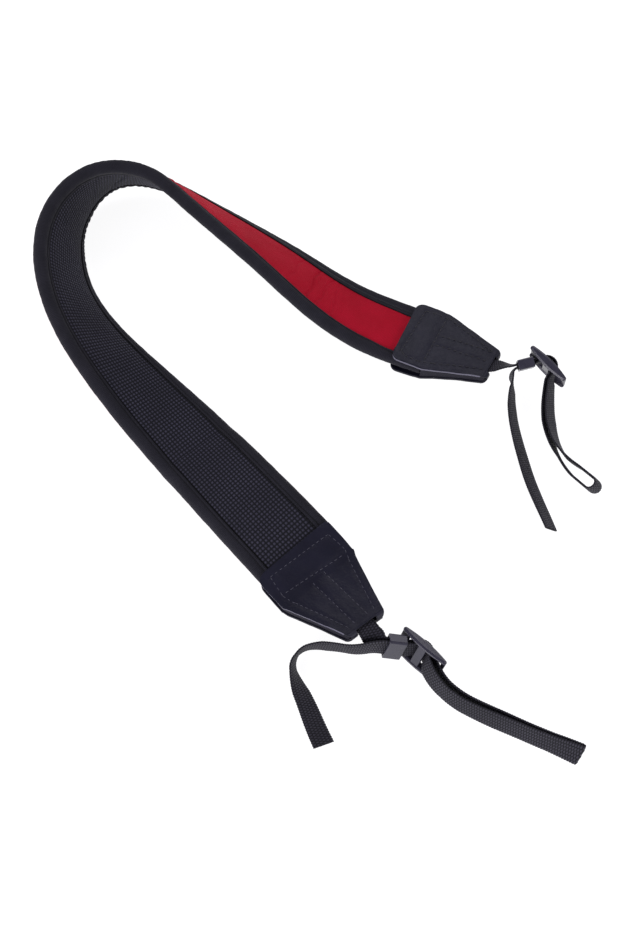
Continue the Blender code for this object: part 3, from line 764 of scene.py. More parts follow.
def make_cover(name, node, slot, arcs, columns, ends, outer, under, material):
    """A closed cover: its outer face over the columns, and two rows of points below its two ends."""
    low, high = ends
    frames = BAND.frames(arcs)
    pts = place(frames, np.broadcast_to(columns, outer.shape), outer)
    edge_b = np.broadcast_to(np.array([high, low]), (len(arcs), 2))
    below = place(frames, edge_b, np.broadcast_to(under, (len(arcs), 2)))
    grid = np.concatenate([pts, below], axis=1)
    uv_b = np.concatenate([columns, high + HIDDEN_UV * np.arange(1, 4)])
    uv = np.stack(np.broadcast_arrays(arcs[:, None], uv_b[None, :]), -1)
    made = face_out(surface(name, grid, uv, wrap=True, caps=True, mats=[material]))
    return settle(made, slot, node)


def make_pad(low, high, material):
    """Grid fabric over the padding: crowned between the bindings, tucked under their lips."""
    step = GRID_ACROSS / 4
    arcs = np.arange(BAND_START, BAND_LENGTH - BAND_START, GRID_ALONG / 4)
    columns = np.round(np.arange(low, high, step) / step) * step
    thick = band_thickness(arcs)[:, None]
    s, b = np.meshgrid(arcs, columns, indexing="ij")
    middle = (low + high) / 2
    reach = np.abs(b - middle) / ((high - low) / 2)
    crown = PAD_CROWN * (1 - reach**5) - PAD_CROWN
    cell = np.abs(np.sin(math.pi * s / GRID_ALONG) * np.sin(math.pi * b / GRID_ACROSS)) ** 1.3
    relief = GRID_RELIEF * cell * smoothstep(1 - reach, 0.02, 0.10)
    sag = 0.14 * MM * ripple(s, b, 34 * MM, 1) + 0.05 * MM * ripple(s, b, 9 * MM, 4)
    sag = sag + creases(PAD_CREASES, s, b - middle)
    top = thick / 2 - COVER_DROP + crown + relief + sag * smoothstep(1 - reach, 0.0, 0.3)
    floor = -(thick / 2 - BINDING_WALL - GAP) + np.minimum(LINING_THICKNESS, 0.5 * thick / 2) + GAP
    made = make_cover("grid_fabric_cover", "grid_fabric_pad", "grid_fabric", arcs, columns, (low, high),
                      top, floor, material)
    return made


def creases(rows, arc, across):
    """Narrow furrows across a cover: depth at each place for the rows of a crease table."""
    total = 0
    for row in rows:
        off = (arc - row.share * BAND_LENGTH - row.slant * across - 0.6 * MM * np.sin(across / (2.6 * MM)))
        total = total - row.depth * np.exp(-(off / row.width) ** 2)
        total = total + 0.5 * row.depth * np.exp(-((off - 2.2 * row.width) / (1.4 * row.width)) ** 2)
    return total


def make_lining(material):
    """Red lining, crowned a little, with creases where the band bends."""
    arcs = np.arange(BAND_START, BAND_LENGTH - BAND_START, LINING_STEP)
    low, high = between_lips(1)
    columns = np.linspace(low, high, 40)
    thick = band_thickness(arcs)[:, None]
    s, b = np.meshgrid(arcs, columns, indexing="ij")
    middle = (low + high) / 2
    reach = np.abs(b - middle) / ((high - low) / 2)
    crown = LINING_CROWN * (1 - reach**4) - LINING_DIP
    sag = 0.16 * MM * ripple(s, b, 30 * MM, 2) + 0.06 * MM * ripple(s, b, 8 * MM, 5)
    sag = sag + creases(LINING_CREASES, s, b - middle)
    out = thick / 2 - COVER_DROP + crown + sag * smoothstep(1 - reach, 0.0, 0.2)
    roof = -(thick / 2 - BINDING_WALL - GAP) + np.minimum(LINING_THICKNESS, 0.5 * thick / 2)
    return make_cover("red_lining_cover", "red_lining", "red_fabric", arcs, columns, (low, high),
                      -out, roof, material)


def binding_profile(thick, side):
    """Outline of a binding for each thickness: places across, heights and outward directions."""
    centre = BAND_WIDTH / 2 - thick / 2
    lip_grid = BAND_WIDTH / 2 - OVERLAP[side][0]
    lip_red = BAND_WIDTH / 2 - OVERLAP[side][1]
    outer = []
    r = thick / 2
    for f in (0.0, 0.08, 0.18, 0.30, 0.38, 0.46, 0.54, 0.62, 0.70, 0.84):
        outer.append((lip_grid + (centre - lip_grid) * f, r + 0 * centre, 0.0, 1.0, f))
    for angle in range(90, -91, -12):
        turn = math.radians(angle)
        outer.append((centre + r * math.cos(turn), r * math.sin(turn), math.cos(turn), math.sin(turn), 1.0))
    for f in (0.84, 0.70, 0.62, 0.54, 0.46, 0.38, 0.30, 0.18, 0.08, 0.0):
        outer.append((lip_red + (centre - lip_red) * f, -r + 0 * centre, 0.0, -1.0, f))
    return outer, lip_grid, lip_red, centre


def make_binding(name, node, side, material):
    """Knit tape folded over a long edge: padded round back, sewn lips, gathers round the bend."""
    arcs = np.arange(BAND_START, BAND_LENGTH - BAND_START, BINDING_STEP)
    thick = band_thickness(arcs)
    frames = BAND.frames(arcs)
    share = arcs / BAND_LENGTH
    outer, lip_grid, lip_red, centre = binding_profile(thick, side)
    strength, begin, full = (1.0, 0.45, 0.50) if side < 0 else (0.25, 0.50, 0.56)
    gather = strength * smoothstep(share, begin, full) * (1 - smoothstep(share, 0.60, 0.66))
    wave = arcs + 1.1 * MM * np.sin(arcs / (7.3 * MM)) + 0.7 * MM * np.sin(arcs / (3.1 * MM) + 1.0)
    fold = np.abs(np.sin(math.pi * wave / GATHER_PITCH)) ** 0.8 - 0.55
    flat_width = OVERLAP[side][0] - BAND_THICKNESS / 2
    across = []
    height = []
    count = len(outer)
    for index, (b, h, nb, nh, f) in enumerate(outer):
        q = index / (count - 1)
        on_round = f >= 0.84
        groove = 0.34 * math.exp(-((f * flat_width - GROOVE_AT) / (0.5 * MM)) ** 2) if f < 0.84 else 0.0
        lip = 0.30 * math.exp(-(f / 0.06) ** 2) if f < 0.84 else 0.0
        bulge = 0.12 * math.sin(math.pi * min(f, 1.0)) if f < 0.84 else 0.0
        push = (bulge - groove - lip) * MM + 0 * arcs
        push = push + 0.10 * MM * ripple(arcs, q * 22 * MM, 13 * MM, 3 + side)
        push = push + 0.05 * MM * ripple(arcs, q * 22 * MM, 4 * MM, 8 + side)
        weight = 1.0 if on_round else 0.35 * (1 if side > 0 else 1.3)
        skew = fold if on_round else np.roll(fold, int((0.5 - q) * 6))
        push = push + GATHER_HEIGHT * gather * skew * weight
        across.append(side * (b + nb * push))
        height.append(h + nh * push)
    inner_r = thick / 2 - BINDING_WALL
    across.append(side * (lip_red + 0 * centre))
    height.append(-inner_r)
    for angle in (-90, -45, 0, 45, 90):
        turn = math.radians(angle)
        across.append(side * (centre + inner_r * math.cos(turn)))
        height.append(inner_r * math.sin(turn))
    across.append(side * (lip_grid + 0 * centre))
    height.append(inner_r)
    grid = place(frames, np.stack(across, -1), np.stack(height, -1))
    middle = grid[grid.shape[0] // 2]
    run = np.concatenate([[0], np.cumsum(np.linalg.norm(np.diff(middle, axis=0), axis=1))])
    from_lip = np.append(np.minimum(run, run[count - 1] - run), 0.0)
    uv = np.stack(np.broadcast_arrays(arcs[:, None], from_lip[None, :]), -1)
    made = face_out(surface(name, grid, uv, wrap=True, caps=True, mats=[material]))
    return settle(made, "binding", node)


# Stitches


def make_stitches(name, runs, radius, length, gap, slot, material):
    """Short threads along runs of surface points with their outward directions."""
    rings = (-1.0, -0.82, -0.4, 0.0, 0.4, 0.82, 1.0)
    sides = 6
    vertices = []
    faces = []
    uvs = []
    for points, normals in runs:
        steps = np.linalg.norm(np.diff(points, axis=0), axis=1)
        arc = np.concatenate([[0], np.cumsum(steps)])
        count = max(1, int(round((arc[-1] + gap) / (length + gap))))
        pitch = (arc[-1] + gap) / count
        for k in range(count):
            start = k * pitch
            stop = start + pitch - gap
            spots = np.array([(start + stop) / 2 + r * (stop - start) / 2 for r in rings])
            centre = np.stack([np.interp(spots, arc, points[:, a]) for a in range(3)], -1)
            up = unit(np.stack([np.interp(spots, arc, normals[:, a]) for a in range(3)], -1))
            ahead = unit(np.gradient(centre, axis=0))
            side = unit(np.cross(ahead, up))
            base = len(vertices)
            for m, r in enumerate(rings):
                thick = radius * math.sqrt(max(1 - abs(r) ** 6, 0.04))
                lift = radius * (0.75 - 1.35 * abs(r) ** 4)
                for n in range(sides):
                    turn = 2 * math.pi * n / sides
                    vertices.append(centre[m] + up[m] * (lift + thick * 0.8 * math.sin(turn))
                                    + side[m] * thick * math.cos(turn))
            for m in range(len(rings) - 1):
                for n in range(sides):
                    o = (n + 1) % sides
                    faces.append((base + m * sides + n, base + m * sides + o,
                                  base + (m + 1) * sides + o, base + (m + 1) * sides + n))
                    uvs += [(spots[m], n / sides), (spots[m], (n + 1) / sides),
                            (spots[m + 1], (n + 1) / sides), (spots[m + 1], n / sides)]
            last = base + (len(rings) - 1) * sides
            faces.append(tuple(base + n for n in range(sides))[::-1])
            faces.append(tuple(last + n for n in range(sides)))
            uvs += [(0, 0)] * (2 * sides)
    mesh = bpy.data.meshes.new(name)
    mesh.from_pydata([tuple(v) for v in vertices], [], faces)
    layer = mesh.uv_layers.new(name="UVMap")
    layer.data.foreach_set("uv", np.array(uvs, np.float32).ravel())
    mesh.shade_smooth()
    mesh.materials.append(material)
    made = bpy.data.objects.new(name, mesh)
    bpy.context.scene.collection.objects.link(made)
    return settle(face_out(made), slot)


def make_binding_stitches(name, side, material):
    """The seam that holds a binding's lips, on both faces of the band."""
    runs = []
    arcs = np.arange(LEATHER_LENGTH + 1 * MM, BAND_LENGTH - LEATHER_LENGTH - 1 * MM, 1.5 * MM)
    thick = band_thickness(arcs)
    point, _, wide, face = BAND.frames(arcs)
    centre = BAND_WIDTH / 2 - thick / 2
    for index, sign in ((0, 1), (1, -1)):
        lip = BAND_WIDTH / 2 - OVERLAP[side][index]
        b = lip + (centre - lip) * 0.22
        h = thick / 2 - 0.20 * MM
        pts = point + wide * (side * b)[:, None] + face * (sign * h)[:, None]
        runs.append((pts, face * sign))
    return make_stitches(name, runs, 0.15 * MM, 1.9 * MM, 0.6 * MM, "binding", material)


# Leather ends


def leather_half_width(from_tip, corner=LEATHER_CORNER, overhang=LEATHER_OVERHANG):
    """Half the width of the leather: tapered to the tip, with round corners at both ends."""
    wide = BAND_WIDTH / 2 + overhang
    if from_tip < LEATHER_TAPER:
        share = from_tip / LEATHER_TAPER
        short = max(EAR_ROUND - from_tip, 0.0)
        ear = EAR_ROUND - math.sqrt(EAR_ROUND**2 - short**2)
        return LEATHER_TIP_WIDTH / 2 + (wide - LEATHER_TIP_WIDTH / 2) * share - ear
    into_corner = max(from_tip - (LEATHER_LENGTH - corner), 0.0)
    return wide - corner + math.sqrt(corner**2 - min(into_corner, corner) ** 2)


def row_distance(d, b, row):
    """Distance of a place on the leather from a sewing line, in mm."""
    best = np.full(np.shape(d), 1e3)
    for (d0, b0), (d1, b1) in zip(row[:-1], row[1:]):
        ex, ey = d1 - d0, b1 - b0
        t = np.clip(((d - d0) * ex + (b - b0) * ey) / (ex * ex + ey * ey), 0, 1)
        best = np.minimum(best, np.hypot(d - d0 - t * ex, b - b0 - t * ey))
    return best


def leather_relief(from_tip, across, seams):
    """How far the leather stands up between its sewing lines."""
    d = np.asarray(from_tip) / MM
    b = np.asarray(across) / MM
    sewn = 0.0
    for row in seams:
        sewn = sewn + 0.34 * np.exp(-(row_distance(d, b, row) / 0.8) ** 2)
    (d0, b0), (d1, b1) = seams[2]
    (_, b2), (_, b3) = seams[3]
    middle = ((b0 + b2) + ((b1 + b3) - (b0 + b2)) * np.clip((d0 - d) / (d0 - d1), 0, 1)) / 2
    over_pad = 0.45 * smoothstep(d, 32.0, 36.0)
    over_webbing = 0.30 * (1 - smoothstep(np.abs(b - middle), 3.2, 5.4)) * (1 - smoothstep(d, 28.5, 31.0))
    soft = 0.20 * ripple(d, b, 17, 6) + 0.08 * ripple(d, b, 5, 7)
    return (over_pad + over_webbing + soft - sewn) * MM


def leather_rows():
    """Rows over the folded leather: distance from the tip and height over the band's middle."""
    radius = (LEATHER_TIP_HEIGHT - HIDE_THICKNESS) / 2
    corner = LEATHER_LENGTH - LEATHER_CORNER
    corner_angles = np.radians([90, 74, 58, 43, 29, 14, 0])
    panel = [LEATHER_LENGTH - LEATHER_CORNER * (1 - math.sin(a)) for a in corner_angles]
    panel += list(np.linspace(corner, LEATHER_TAPER, 20)[1:])
    panel += list(np.linspace(LEATHER_TAPER, SLOT_DEPTH, 40)[1:])
    panel += list(np.linspace(SLOT_DEPTH, radius, 4)[1:-1])
    heights = [(float(leather_height(np.float64(d))) - HIDE_THICKNESS) / 2 for d in panel]
    upper = [(d, h, 1.0) for d, h in zip(panel, heights)]
    fold = []
    for angle in range(90, -91, -15):
        turn = math.radians(angle)
        fold.append((radius * (1 - math.cos(turn)), radius * math.sin(turn), math.sin(turn)))
    lower = [(d, -h, -1.0) for d, h, _ in reversed(upper)]
    return upper + fold + lower


def leather_height_at(from_tip, across, seams, half):
    """Height of the leather's outer face over the band's middle, with its relief and its tired edges."""
    near_fold = smoothstep(from_tip, 2.2 * MM, 7 * MM)
    droop = 0.35 * MM * smoothstep(np.abs(across) / half, 0.75, 1.0) * smoothstep(from_tip, 2 * MM, 14 * MM)
    return (leather_relief(from_tip, across, seams) - droop) * near_fold


def make_side_wall(name, from_start, side, material):
    """Dark cloth that closes one side of the folded leather, from the band's end to the fold."""
    radius = (LEATHER_TIP_HEIGHT - HIDE_THICKNESS) / 2
    grid = []
    uv = []
    for from_tip in np.linspace(LEATHER_TAPER + 0.6 * MM, 0.9 * MM, 60):
        arc = from_tip if from_start else BAND_LENGTH - from_tip
        point, _, across, face = BAND.frame(arc)
        reach = (float(leather_height(np.float64(from_tip))) - HIDE_THICKNESS) / 2
        if from_tip < radius:
            reach = min(reach, math.sqrt(radius**2 - (radius - from_tip) ** 2))
        out = leather_half_width(from_tip) - 1.2 * MM
        levels = np.linspace(-1, 1, 9)
        uneven = ripple(from_tip + 0 * levels, levels * 3 * MM, 7 * MM, 3)
        bulge = 0.35 * MM * (1 - levels**2) + 0.12 * MM * uneven
        grid.append(point + across * (side * (out + bulge))[:, None] + face * (levels * reach)[:, None])
        uv.append(np.stack([from_tip + 0 * levels, levels * reach], -1))
    return surface(name, np.array(grid), np.array(uv), mats=[material])


def make_leather_end(name, node, from_start, seams, flush_side, materials, cloth, yarn, thread_material):
    """A sheet folded over the tip, sewn down, with a slot in the fold for the webbing."""
    slot = WEBBING_WIDTH / 2 + SLOT_CLEARANCE
    near = 1 if from_start else -1
    rows = leather_rows()
    outside = 12
    inside = 14
    grid = []
    for from_tip, height, sign in rows:
        arc = from_tip if from_start else BAND_LENGTH - from_tip
        point, _, across, face = BAND.frame(arc)
        ends = []
        for side in (-1, 1):
            if side == flush_side:
                ends.append(side * leather_half_width(from_tip, FLUSH_CORNER, FLUSH_OVERHANG))
            else:
                ends.append(side * leather_half_width(from_tip))
        b = np.concatenate([
            np.linspace(ends[0], -slot, outside + 1),
            np.linspace(-slot, slot, inside + 1)[1:-1],
            np.linspace(slot, ends[1], outside + 1),
        ])
        raised = leather_height_at(from_tip + 0 * b, b, seams, leather_half_width(from_tip)) * sign
        grid.append(point + across * b[:, None] + face * (height + raised)[:, None])
    grid = np.array(grid)
    edge_rows = np.array([row[0] for row in rows])
    signs = np.array([row[2] for row in rows]) * near
    deep = np.maximum(edge_rows[:-1], edge_rows[1:]) <= SLOT_DEPTH + 1e-9
    deep &= np.minimum(signs[:-1], signs[1:]) < NEAR_LIP

    def in_slot(i, j):
        return deep[i] & (j >= outside) & (j < outside + inside)

    uv = np.zeros((grid.shape[0], grid.shape[1], 2))
    made = surface(name, grid, uv, mats=materials, skip=in_slot)
    # Only the near panel keeps the pale cut edge; the other cut edges take the dark copy of it, which is
    # painted shade.
    pale = (signs[:-1] > 0.99) & (np.minimum(edge_rows[:-1], edge_rows[1:]) > 2.5 * MM)
    columns = grid.shape[1]
    row_of = np.array([polygon.vertices[0] // columns for polygon in made.data.polygons])
    # Rows on the fold take the fold hide, whose paler colour is a painted highlight.
    folded = np.minimum(np.abs(signs[:-1]), np.abs(signs[1:])) < 0.99
    index = np.where(folded, 4, np.where(pale, 0, 2))
    made.data.polygons.foreach_set("material_index", index[row_of].astype(np.int32))
    drop_loose(made)
    solidify = made.modifiers.new("thickness", "SOLIDIFY")
    solidify.thickness = HIDE_THICKNESS
    solidify.offset = 0.0
    solidify.use_even_offset = True
    solidify.material_offset_rim = 1
    bevel = made.modifiers.new("worn_edges", "BEVEL")
    bevel.width = WORN_EDGE
    bevel.segments = 2
    bevel.material = 0
    bevel.limit_method = "ANGLE"
    bevel.angle_limit = math.radians(55)
    settle(made, "leather", node)
    for side, word in ((1, "a"), (-1, "b")):
        wall = make_side_wall(name + "_side_" + word, from_start, side, cloth)
        thickness = wall.modifiers.new("thickness", "SOLIDIFY")
        thickness.thickness = SIDE_CLOTH
        thickness.offset = 0.0
        settle(wall, "binding")
    runs = []
    for row in seams:
        line = np.array(row) * MM
        for a, b in zip(line[:-1], line[1:]):
            count = max(2, int(np.hypot(*(b - a)) / (0.8 * MM)))
            spots = a + (b - a) * np.linspace(0, 1, count)[:, None]
            for sign in (1, -1):
                pts = []
                ups = []
                for d, across_place in spots:
                    arc = d if from_start else BAND_LENGTH - d
                    point, _, across, face = BAND.frame(arc)
                    height = float(leather_height(np.float64(d))) / 2
                    height += float(leather_height_at(d, across_place, seams, leather_half_width(d)))
                    pts.append(point + across * across_place + face * sign * height)
                    ups.append(face * sign)
                runs.append((np.array(pts), np.array(ups)))
    make_stitches(name + "_stitches", runs, *yarn, "leather", thread_material)
    return made


# Webbing


def end_frames(end):
    """The route of the doubled webbing from the slot to the loop's end, with the places along it."""
    if end.name == "lower":
        point, along, across, _ = BAND.frame(end.exit)
        along = -along
        across = -across
    else:
        point, along, across, _ = BAND.frame(BAND_LENGTH - end.exit)
    along = turned(along, across, math.radians(end.pitch))
    across = turned(across, along, math.radians(end.roll))
    wrap_in = ARCH_RADIUS * math.radians(end.wrap_in)
    wrap_out = ARCH_RADIUS * math.radians(end.wrap_out)
    turns = [(turn.share * end.stub_length, turn.bend, turn.twist, turn.edge) for turn in end.stub]
    turns += [
        (KEEPER_LENGTH, 0, 0, 0),
        (end.link, end.link_bend, end.link_twist, 0),
        (wrap_in, -end.wrap_in, 0, 0),
        (wrap_out, -end.wrap_out, 0, 0),
        (end.leg, *end.leg_turn, 0),
    ]
    turns += [(turn.share * end.loop_length, turn.bend, turn.twist, turn.edge) for turn in end.loop]
    route = follow(point, along, across, turns)
    arch_start = end.stub_length + KEEPER_LENGTH + end.link
    places = {
        "keeper_start": end.stub_length,
        "keeper": end.stub_length + KEEPER_LENGTH / 2,
        "arch_top": arch_start + wrap_in,
        "arch_end": arch_start + wrap_in + wrap_out,
        "loop_start": arch_start + wrap_in + wrap_out + end.leg,
        "loop_end": route.arc[-1],
    }
    return route, places


def half_gap(end, places, arcs):
    """Half the distance between the two layers of webbing along the doubled route."""
    shares = np.linspace(0, 1, len(end.loop_gap))
    share = (arcs - places["loop_start"]) / end.loop_length
    in_loop = np.interp(share, shares, end.loop_gap) * LAYER
    ease = np.clip((arcs - places["arch_end"]) / end.leg, 0.0, 1.0)
    return LAYER + (in_loop - LAYER) * ease


def make_webbing(end, route, places, material):
    """One continuous ribbed strip: sewn end, keeper, buckle, loop, buckle, keeper, tail."""
    step = RIB_PITCH / 4
    stretches = []
    sewn = np.arange(LEATHER_TAPER, end.exit + 1.5 * WEBBING_THICKNESS, -2 * MM)
    sign = -1 if end.name == "lower" else 1
    point, _, across, face = BAND.frames(sewn if end.name == "lower" else BAND_LENGTH - sewn)
    stretches.append((point, across * sign, -face))
    arcs = np.arange(0.0, places["loop_end"], step)
    point, _, across, face = route.frames(arcs)
    apart = half_gap(end, places, arcs) * np.minimum(arcs / places["keeper_start"], 1.0)
    stretches.append((point - face * apart[:, None], across, -face))
    point, along, across, face = route.frame(places["loop_end"])
    radius = float(half_gap(end, places, places["loop_end"]))
    count = max(9, int(math.pi * radius / step))
    turns = np.linspace(0, math.pi, count + 2)[1:-1]
    outward = along * np.sin(turns)[:, None] - face * np.cos(turns)[:, None]
    stretches.append((point + outward * radius, np.broadcast_to(across, outward.shape), outward))
    arcs = np.arange(places["keeper_start"] + step, places["loop_end"], step)[::-1]
    point, _, across, face = route.frames(arcs)
    stretches.append((point + face * half_gap(end, places, arcs)[:, None], across, face))
    point, along, across, face = route.frame(places["keeper_start"])
    turns = [(turn.share * end.tail_length, turn.bend, turn.twist, turn.edge) for turn in end.tail]
    tail = follow(point + face * LAYER, -along, across, turns)
    point, _, across, face = tail.frames(np.arange(0.0, end.tail_length, step))
    stretches.append((point, across, -face))
    centre, wide, out = (np.vstack(rows) for rows in zip(*stretches))
    length = np.concatenate([[0], np.cumsum(np.linalg.norm(np.diff(centre, axis=0), axis=1))])
    phase = length / RIB_PITCH
    columns = 25
    v = np.linspace(-1, 1, columns)
    edge = WEBBING_WIDTH / 2 - 0.24 * MM * (0.5 + 0.5 * np.cos(2 * math.pi * phase))
    place_v = v * WEBBING_WIDTH / 2
    column = np.floor(place_v / WARP_PITCH + 1e-6)
    rib = np.abs(np.sin(math.pi * (phase[:, None] + column[None, :] / 2)))
    warp = np.abs(np.sin(math.pi * place_v[None, :] / WARP_PITCH))
    tops = rib * (RIB_SHARE + (1 - RIB_SHARE) * warp)
    thin = 0.44 * MM * (1 - np.abs(v) ** 7 * 0.45)
    half = thin[None, :] + 0.17 * MM * tops * (1 - np.abs(v[None, :]) ** 9)
    b = v[None, :] * edge[:, None]
    front = centre[:, None] + wide[:, None] * b[..., None] + out[:, None] * half[..., None]
    back = centre[:, None] + wide[:, None] * b[..., None] - out[:, None] * half[..., None]
    grid = np.concatenate([front, back[:, ::-1]], axis=1)
    across_uv = np.concatenate([place_v, place_v[::-1] + 12.5 * MM, [place_v[0] + 12.5 * MM * 2]])
    uv = np.stack(np.broadcast_arrays(length[:, None], across_uv[None, :]), -1)
    name = "webbing_" + end.name + "_strip"
    made = face_out(surface(name, grid, uv, wrap=True, caps=True, mats=[material]))
    return settle(made, "webbing", "webbing_" + end.name)


# Keeper and buckle


def rounded_rectangle(width, height, radius, corner_steps):
    """Points round a rectangle with round corners and their outward directions."""
    points = []
    normals = []
    corners = ((1, 1, 0), (-1, 1, 90), (-1, -1, 180), (1, -1, 270))
    for side_x, side_y, start in corners:
        centre_x = side_x * (width / 2 - radius)
        centre_y = side_y * (height / 2 - radius)
        for step in range(corner_steps + 1):
            angle = math.radians(start + 90 * step / corner_steps)
            points.append((centre_x + radius * math.cos(angle), centre_y + radius * math.sin(angle)))
            normals.append((math.cos(angle), math.sin(angle)))
    return np.array(points), np.array(normals)


def make_keeper(end, route, places, material):
    """A moulded sleeve round the two layers of webbing, with softened edges."""
    point, along, across, face = route.frame(places["keeper"])
    inner_width = WEBBING_WIDTH + 2 * KEEPER_CLEARANCE
    inner_height = 2 * (LAYER + WEBBING_THICKNESS / 2 + KEEPER_CLEARANCE)
    inner, normals = rounded_rectangle(inner_width, inner_height, KEEPER_BORE_ROUND, 4)
    wall, _ = rounded_rectangle(KEEPER_WALL, KEEPER_LENGTH, KEEPER_RIM_ROUND, 3)
    wall = wall + np.array([KEEPER_WALL / 2, 0])
    grid = []
    for (x, y), (nx, ny) in zip(inner, normals):
        ring = []
        for out, z in wall:
            ring.append(point + across * (x + nx * out) + face * (y + ny * out) + along * z)
        grid.append(ring)
    grid.append(grid[0])
    made = surface("keeper_" + end.name + "_sleeve", np.array(grid), wrap=True, mats=[material])
    weld(made)
    face_out(made)
    crisp(made)
    return settle(made, "nylon", "keeper_" + end.name)


def crisp(made):
    """Weights the shading by face size, so flat faces look flat up to their soft edges."""
    weighted = made.modifiers.new("flat_faces", "WEIGHTED_NORMAL")
    weighted.keep_sharp = False
    weighted.weight = 80


# Dome of a rail's broad faces: distance in from its round rim and share of the dome's height
DOME_STEPS = ((0.10 * MM, 0.25), (0.28 * MM, 0.65), (0.50 * MM, 0.90), (0.68 * MM, 1.0))


def rounded_plate(name, outline, low, high, radius, spot, material, dome=0.0):
    """A plate of a flat outline with round rims and domed faces, in a frame (origin, x, y, z)."""
    origin, ax, ay, az = spot
    points = np.array(outline)
    ahead = np.roll(points, -1, axis=0) - np.roll(points, 1, axis=0)
    normals = unit(np.stack([ahead[:, 1], -ahead[:, 0]], -1))
    rim = np.radians([0, 22, 45, 68, 90])
    profile = [(radius * (1 - math.cos(t)), dome + radius * (1 - math.sin(t))) for t in rim]
    if dome:
        profile += [(radius + inset, dome * (1 - lift)) for inset, lift in DOME_STEPS]
    levels = [(low + depth, inset) for inset, depth in profile[::-1]]
    levels += [(high - depth, inset) for inset, depth in profile]
    rings = []
    for z, inset in levels:
        flat = points - normals * inset
        rings.append(origin + ax * flat[:, :1] + ay * flat[:, 1:] + az * z)
    return surface(name, np.array(rings), wrap=True, caps=True, mats=[material])


def rail_outline():
    """A slim leaf: thick in the middle, round at both ends."""
    half = BUCKLE_LENGTH / 2
    round_end = RAIL_END / 2
    reach = half - round_end
    points = []
    for share in np.linspace(-1, 1, 25):
        swell = (RAIL_MIDDLE - RAIL_END) / 2 * (1 - share**2)
        points.append((share * reach, -(round_end + swell)))
    for angle in (-68, -45, -22, 0, 22, 45, 68):
        turn = math.radians(angle)
        points.append((reach + round_end * math.cos(turn), round_end * math.sin(turn)))
    upper = [(-x, -y) for x, y in points]
    return points + upper


def middle_bar_outline():
    """The middle bar: flat towards the loop, half round where the webbing wraps it."""
    half = MIDDLE_BAR_WIDTH / 2
    top = ARCH_RADIUS - LAYER - WEBBING_THICKNESS / 2 - GAP
    crown = top - half
    low = top - MIDDLE_BAR_DEPTH
    edge = BAR_EDGE
    points = [(-half + edge, low), (half - edge, low), (half, low + edge)]
    for angle in range(0, 181, 15):
        turn = math.radians(angle)
        points.append((half * math.cos(turn), crown + half * math.sin(turn)))
    points.append((-half, low + edge))
    return points


def end_bar_outline(side, width):
    """A bar at one end of the buckle, behind the webbing."""
    centre = side * (BUCKLE_LENGTH / 2 - width / 2 - END_BAR_INSET)
    outline, _ = rounded_rectangle(width, END_BAR_DEPTH, END_BAR_DEPTH * 0.4, 3)
    return [(x + centre, y + END_BAR_DEPTH / 2) for x, y in outline]


def make_buckle(end, route, places, material):
    """The slide buckle: two leaf rails joined by a middle bar and two end bars."""
    top, along, across, face = route.frame(places["arch_top"])
    arch_centre = top + face * ARCH_RADIUS
    bar_top = ARCH_RADIUS - LAYER - WEBBING_THICKNESS / 2 - GAP
    shift = bar_top - MIDDLE_BAR_DEPTH / 2
    middle = arch_centre - face * shift
    spot = (middle, along, -face, across)
    inner = WEBBING_WIDTH / 2 + RAIL_CLEARANCE
    outer = inner + RAIL_HEIGHT
    into = inner + RAIL_HEIGHT / 2
    bar = [(x, y - shift) for x, y in middle_bar_outline()]
    parts = [
        rounded_plate("rail_a", rail_outline(), inner, outer, RAIL_ROUND, spot, material, RAIL_DOME),
        rounded_plate("rail_b", rail_outline(), -outer, -inner, RAIL_ROUND, spot, material, RAIL_DOME),
        rounded_plate("middle", bar, -into, into, BAR_ROUND, spot, material),
        rounded_plate("end_a", end_bar_outline(-1, NEAR_BAR_WIDTH), -into, into, BAR_ROUND, spot, material),
        rounded_plate("end_b", end_bar_outline(1, FAR_BAR_WIDTH), -into, into, BAR_ROUND, spot, material),
    ]
    made = face_out(joined("buckle_" + end.name + "_slide", parts))
    crisp(made)
    return settle(made, "nylon", "buckle_" + end.name)


# Studio


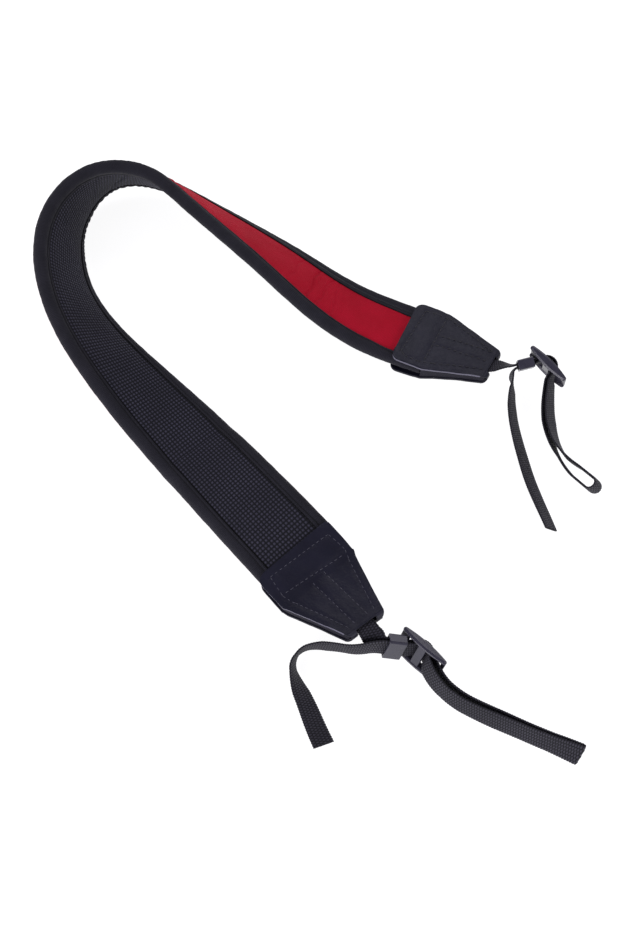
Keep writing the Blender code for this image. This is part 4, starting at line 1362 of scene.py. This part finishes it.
def make_studio():
    """Plain pale floor, soft lights and the camera at the photo's angle."""
    floor_material = Shader("floor", (0.32, 0.32, 0.32), 0.9, Specular_IOR_Level=0.0, Emission_Strength=0.90)
    floor_material.bsdf.inputs["Emission Color"].default_value = (1, 1, 1, 1)
    bpy.ops.mesh.primitive_plane_add(size=8, location=(0, 0, -0.0002))
    floor = bpy.context.object
    floor.name = "floor"
    floor.data.materials.append(floor_material.material)
    world = bpy.data.worlds.new("studio")
    bpy.context.scene.world = world
    world.use_nodes = True
    sky = world.node_tree.nodes["Background"]
    sky.inputs["Color"].default_value = SKY_COLOUR
    sky.inputs["Strength"].default_value = SKY_STRENGTH

    for light in LIGHTS:
        data = bpy.data.lights.new(light.name, "AREA")
        data.shape = "RECTANGLE"
        data.size, data.size_y = light.size
        data.energy = light.power
        data.color = LIGHT_COLOUR
        lamp = bpy.data.objects.new(light.name, data)
        bpy.context.scene.collection.objects.link(lamp)
        lamp.location = Vector(light.place_mm) * MM
        lamp.rotation_euler = (-lamp.location).to_track_quat("-Z", "Y").to_euler()
    data = bpy.data.cameras.new("camera")
    data.sensor_width = 36
    data.lens = CAMERA_LENS
    camera = bpy.data.objects.new("camera", data)
    bpy.context.scene.collection.objects.link(camera)
    tilt = math.radians(CAMERA_TILT)
    away = Vector((0, -math.cos(tilt), math.sin(tilt))) * CAMERA_REACH
    camera.location = Vector(CAMERA_TARGET) + away
    camera.rotation_euler = (math.radians(90) - tilt, 0, 0)
    data.clip_start = 0.01
    bpy.context.scene.camera = camera
    bpy.context.scene.view_settings.view_transform = "Standard"


make_studio()
pad_lips = between_lips(0)
make_pad(*pad_lips, grid_fabric(*pad_lips))
make_lining(red_knit())
knit = binding_knit()
make_binding("binding_outer_tape", "edge_binding_outer", 1, knit)
make_binding("binding_inner_tape", "edge_binding_inner", -1, knit)
black_thread = thread("black_thread", (0.004, 0.004, 0.006), (0.011, 0.010, 0.014), 0.05)
make_binding_stitches("binding_outer_seam", 1, black_thread)
make_binding_stitches("binding_inner_seam", -1, black_thread)
hide = leather()
hide_edge = cut_edge("leather_edge", 0.65, 0.5, (0.075, 0.072, 0.098), (0.14, 0.134, 0.18))
# The same cut edge painted dark: painted shade for the edges away from the near panel and round the fold.
painted_shade_edge = cut_edge("leather_edge_painted_shade", 0.6, 0.25, (0.008, 0.008, 0.012), (0.018, 0.018, 0.025))
grey_thread = thread("grey_thread", (0.012, 0.011, 0.018), (0.048, 0.045, 0.070), 0.2)
# Slots: hide, pale cut edge, hide, cut edge with painted shade, fold hide with painted highlight, cut edge
# with painted shade.
hides = [hide, hide_edge, hide, painted_shade_edge, leather_fold_painted_highlight(), painted_shade_edge]
cloth = side_cloth()
make_leather_end("leather_lower", "leather_end_lower", True, LOWER_SEAMS, -1, hides, cloth, LOWER_THREAD,
                 grey_thread)
make_leather_end("leather_upper", "leather_end_upper", False, UPPER_SEAMS, 0, hides, cloth, UPPER_THREAD,
                 black_thread)
weft = webbing_weave()
moulded = nylon()
for strap_end in (LOWER_END, UPPER_END):
    way, marks = end_frames(strap_end)
    make_webbing(strap_end, way, marks, weft)
    make_keeper(strap_end, way, marks, moulded)
    make_buckle(strap_end, way, marks, moulded)
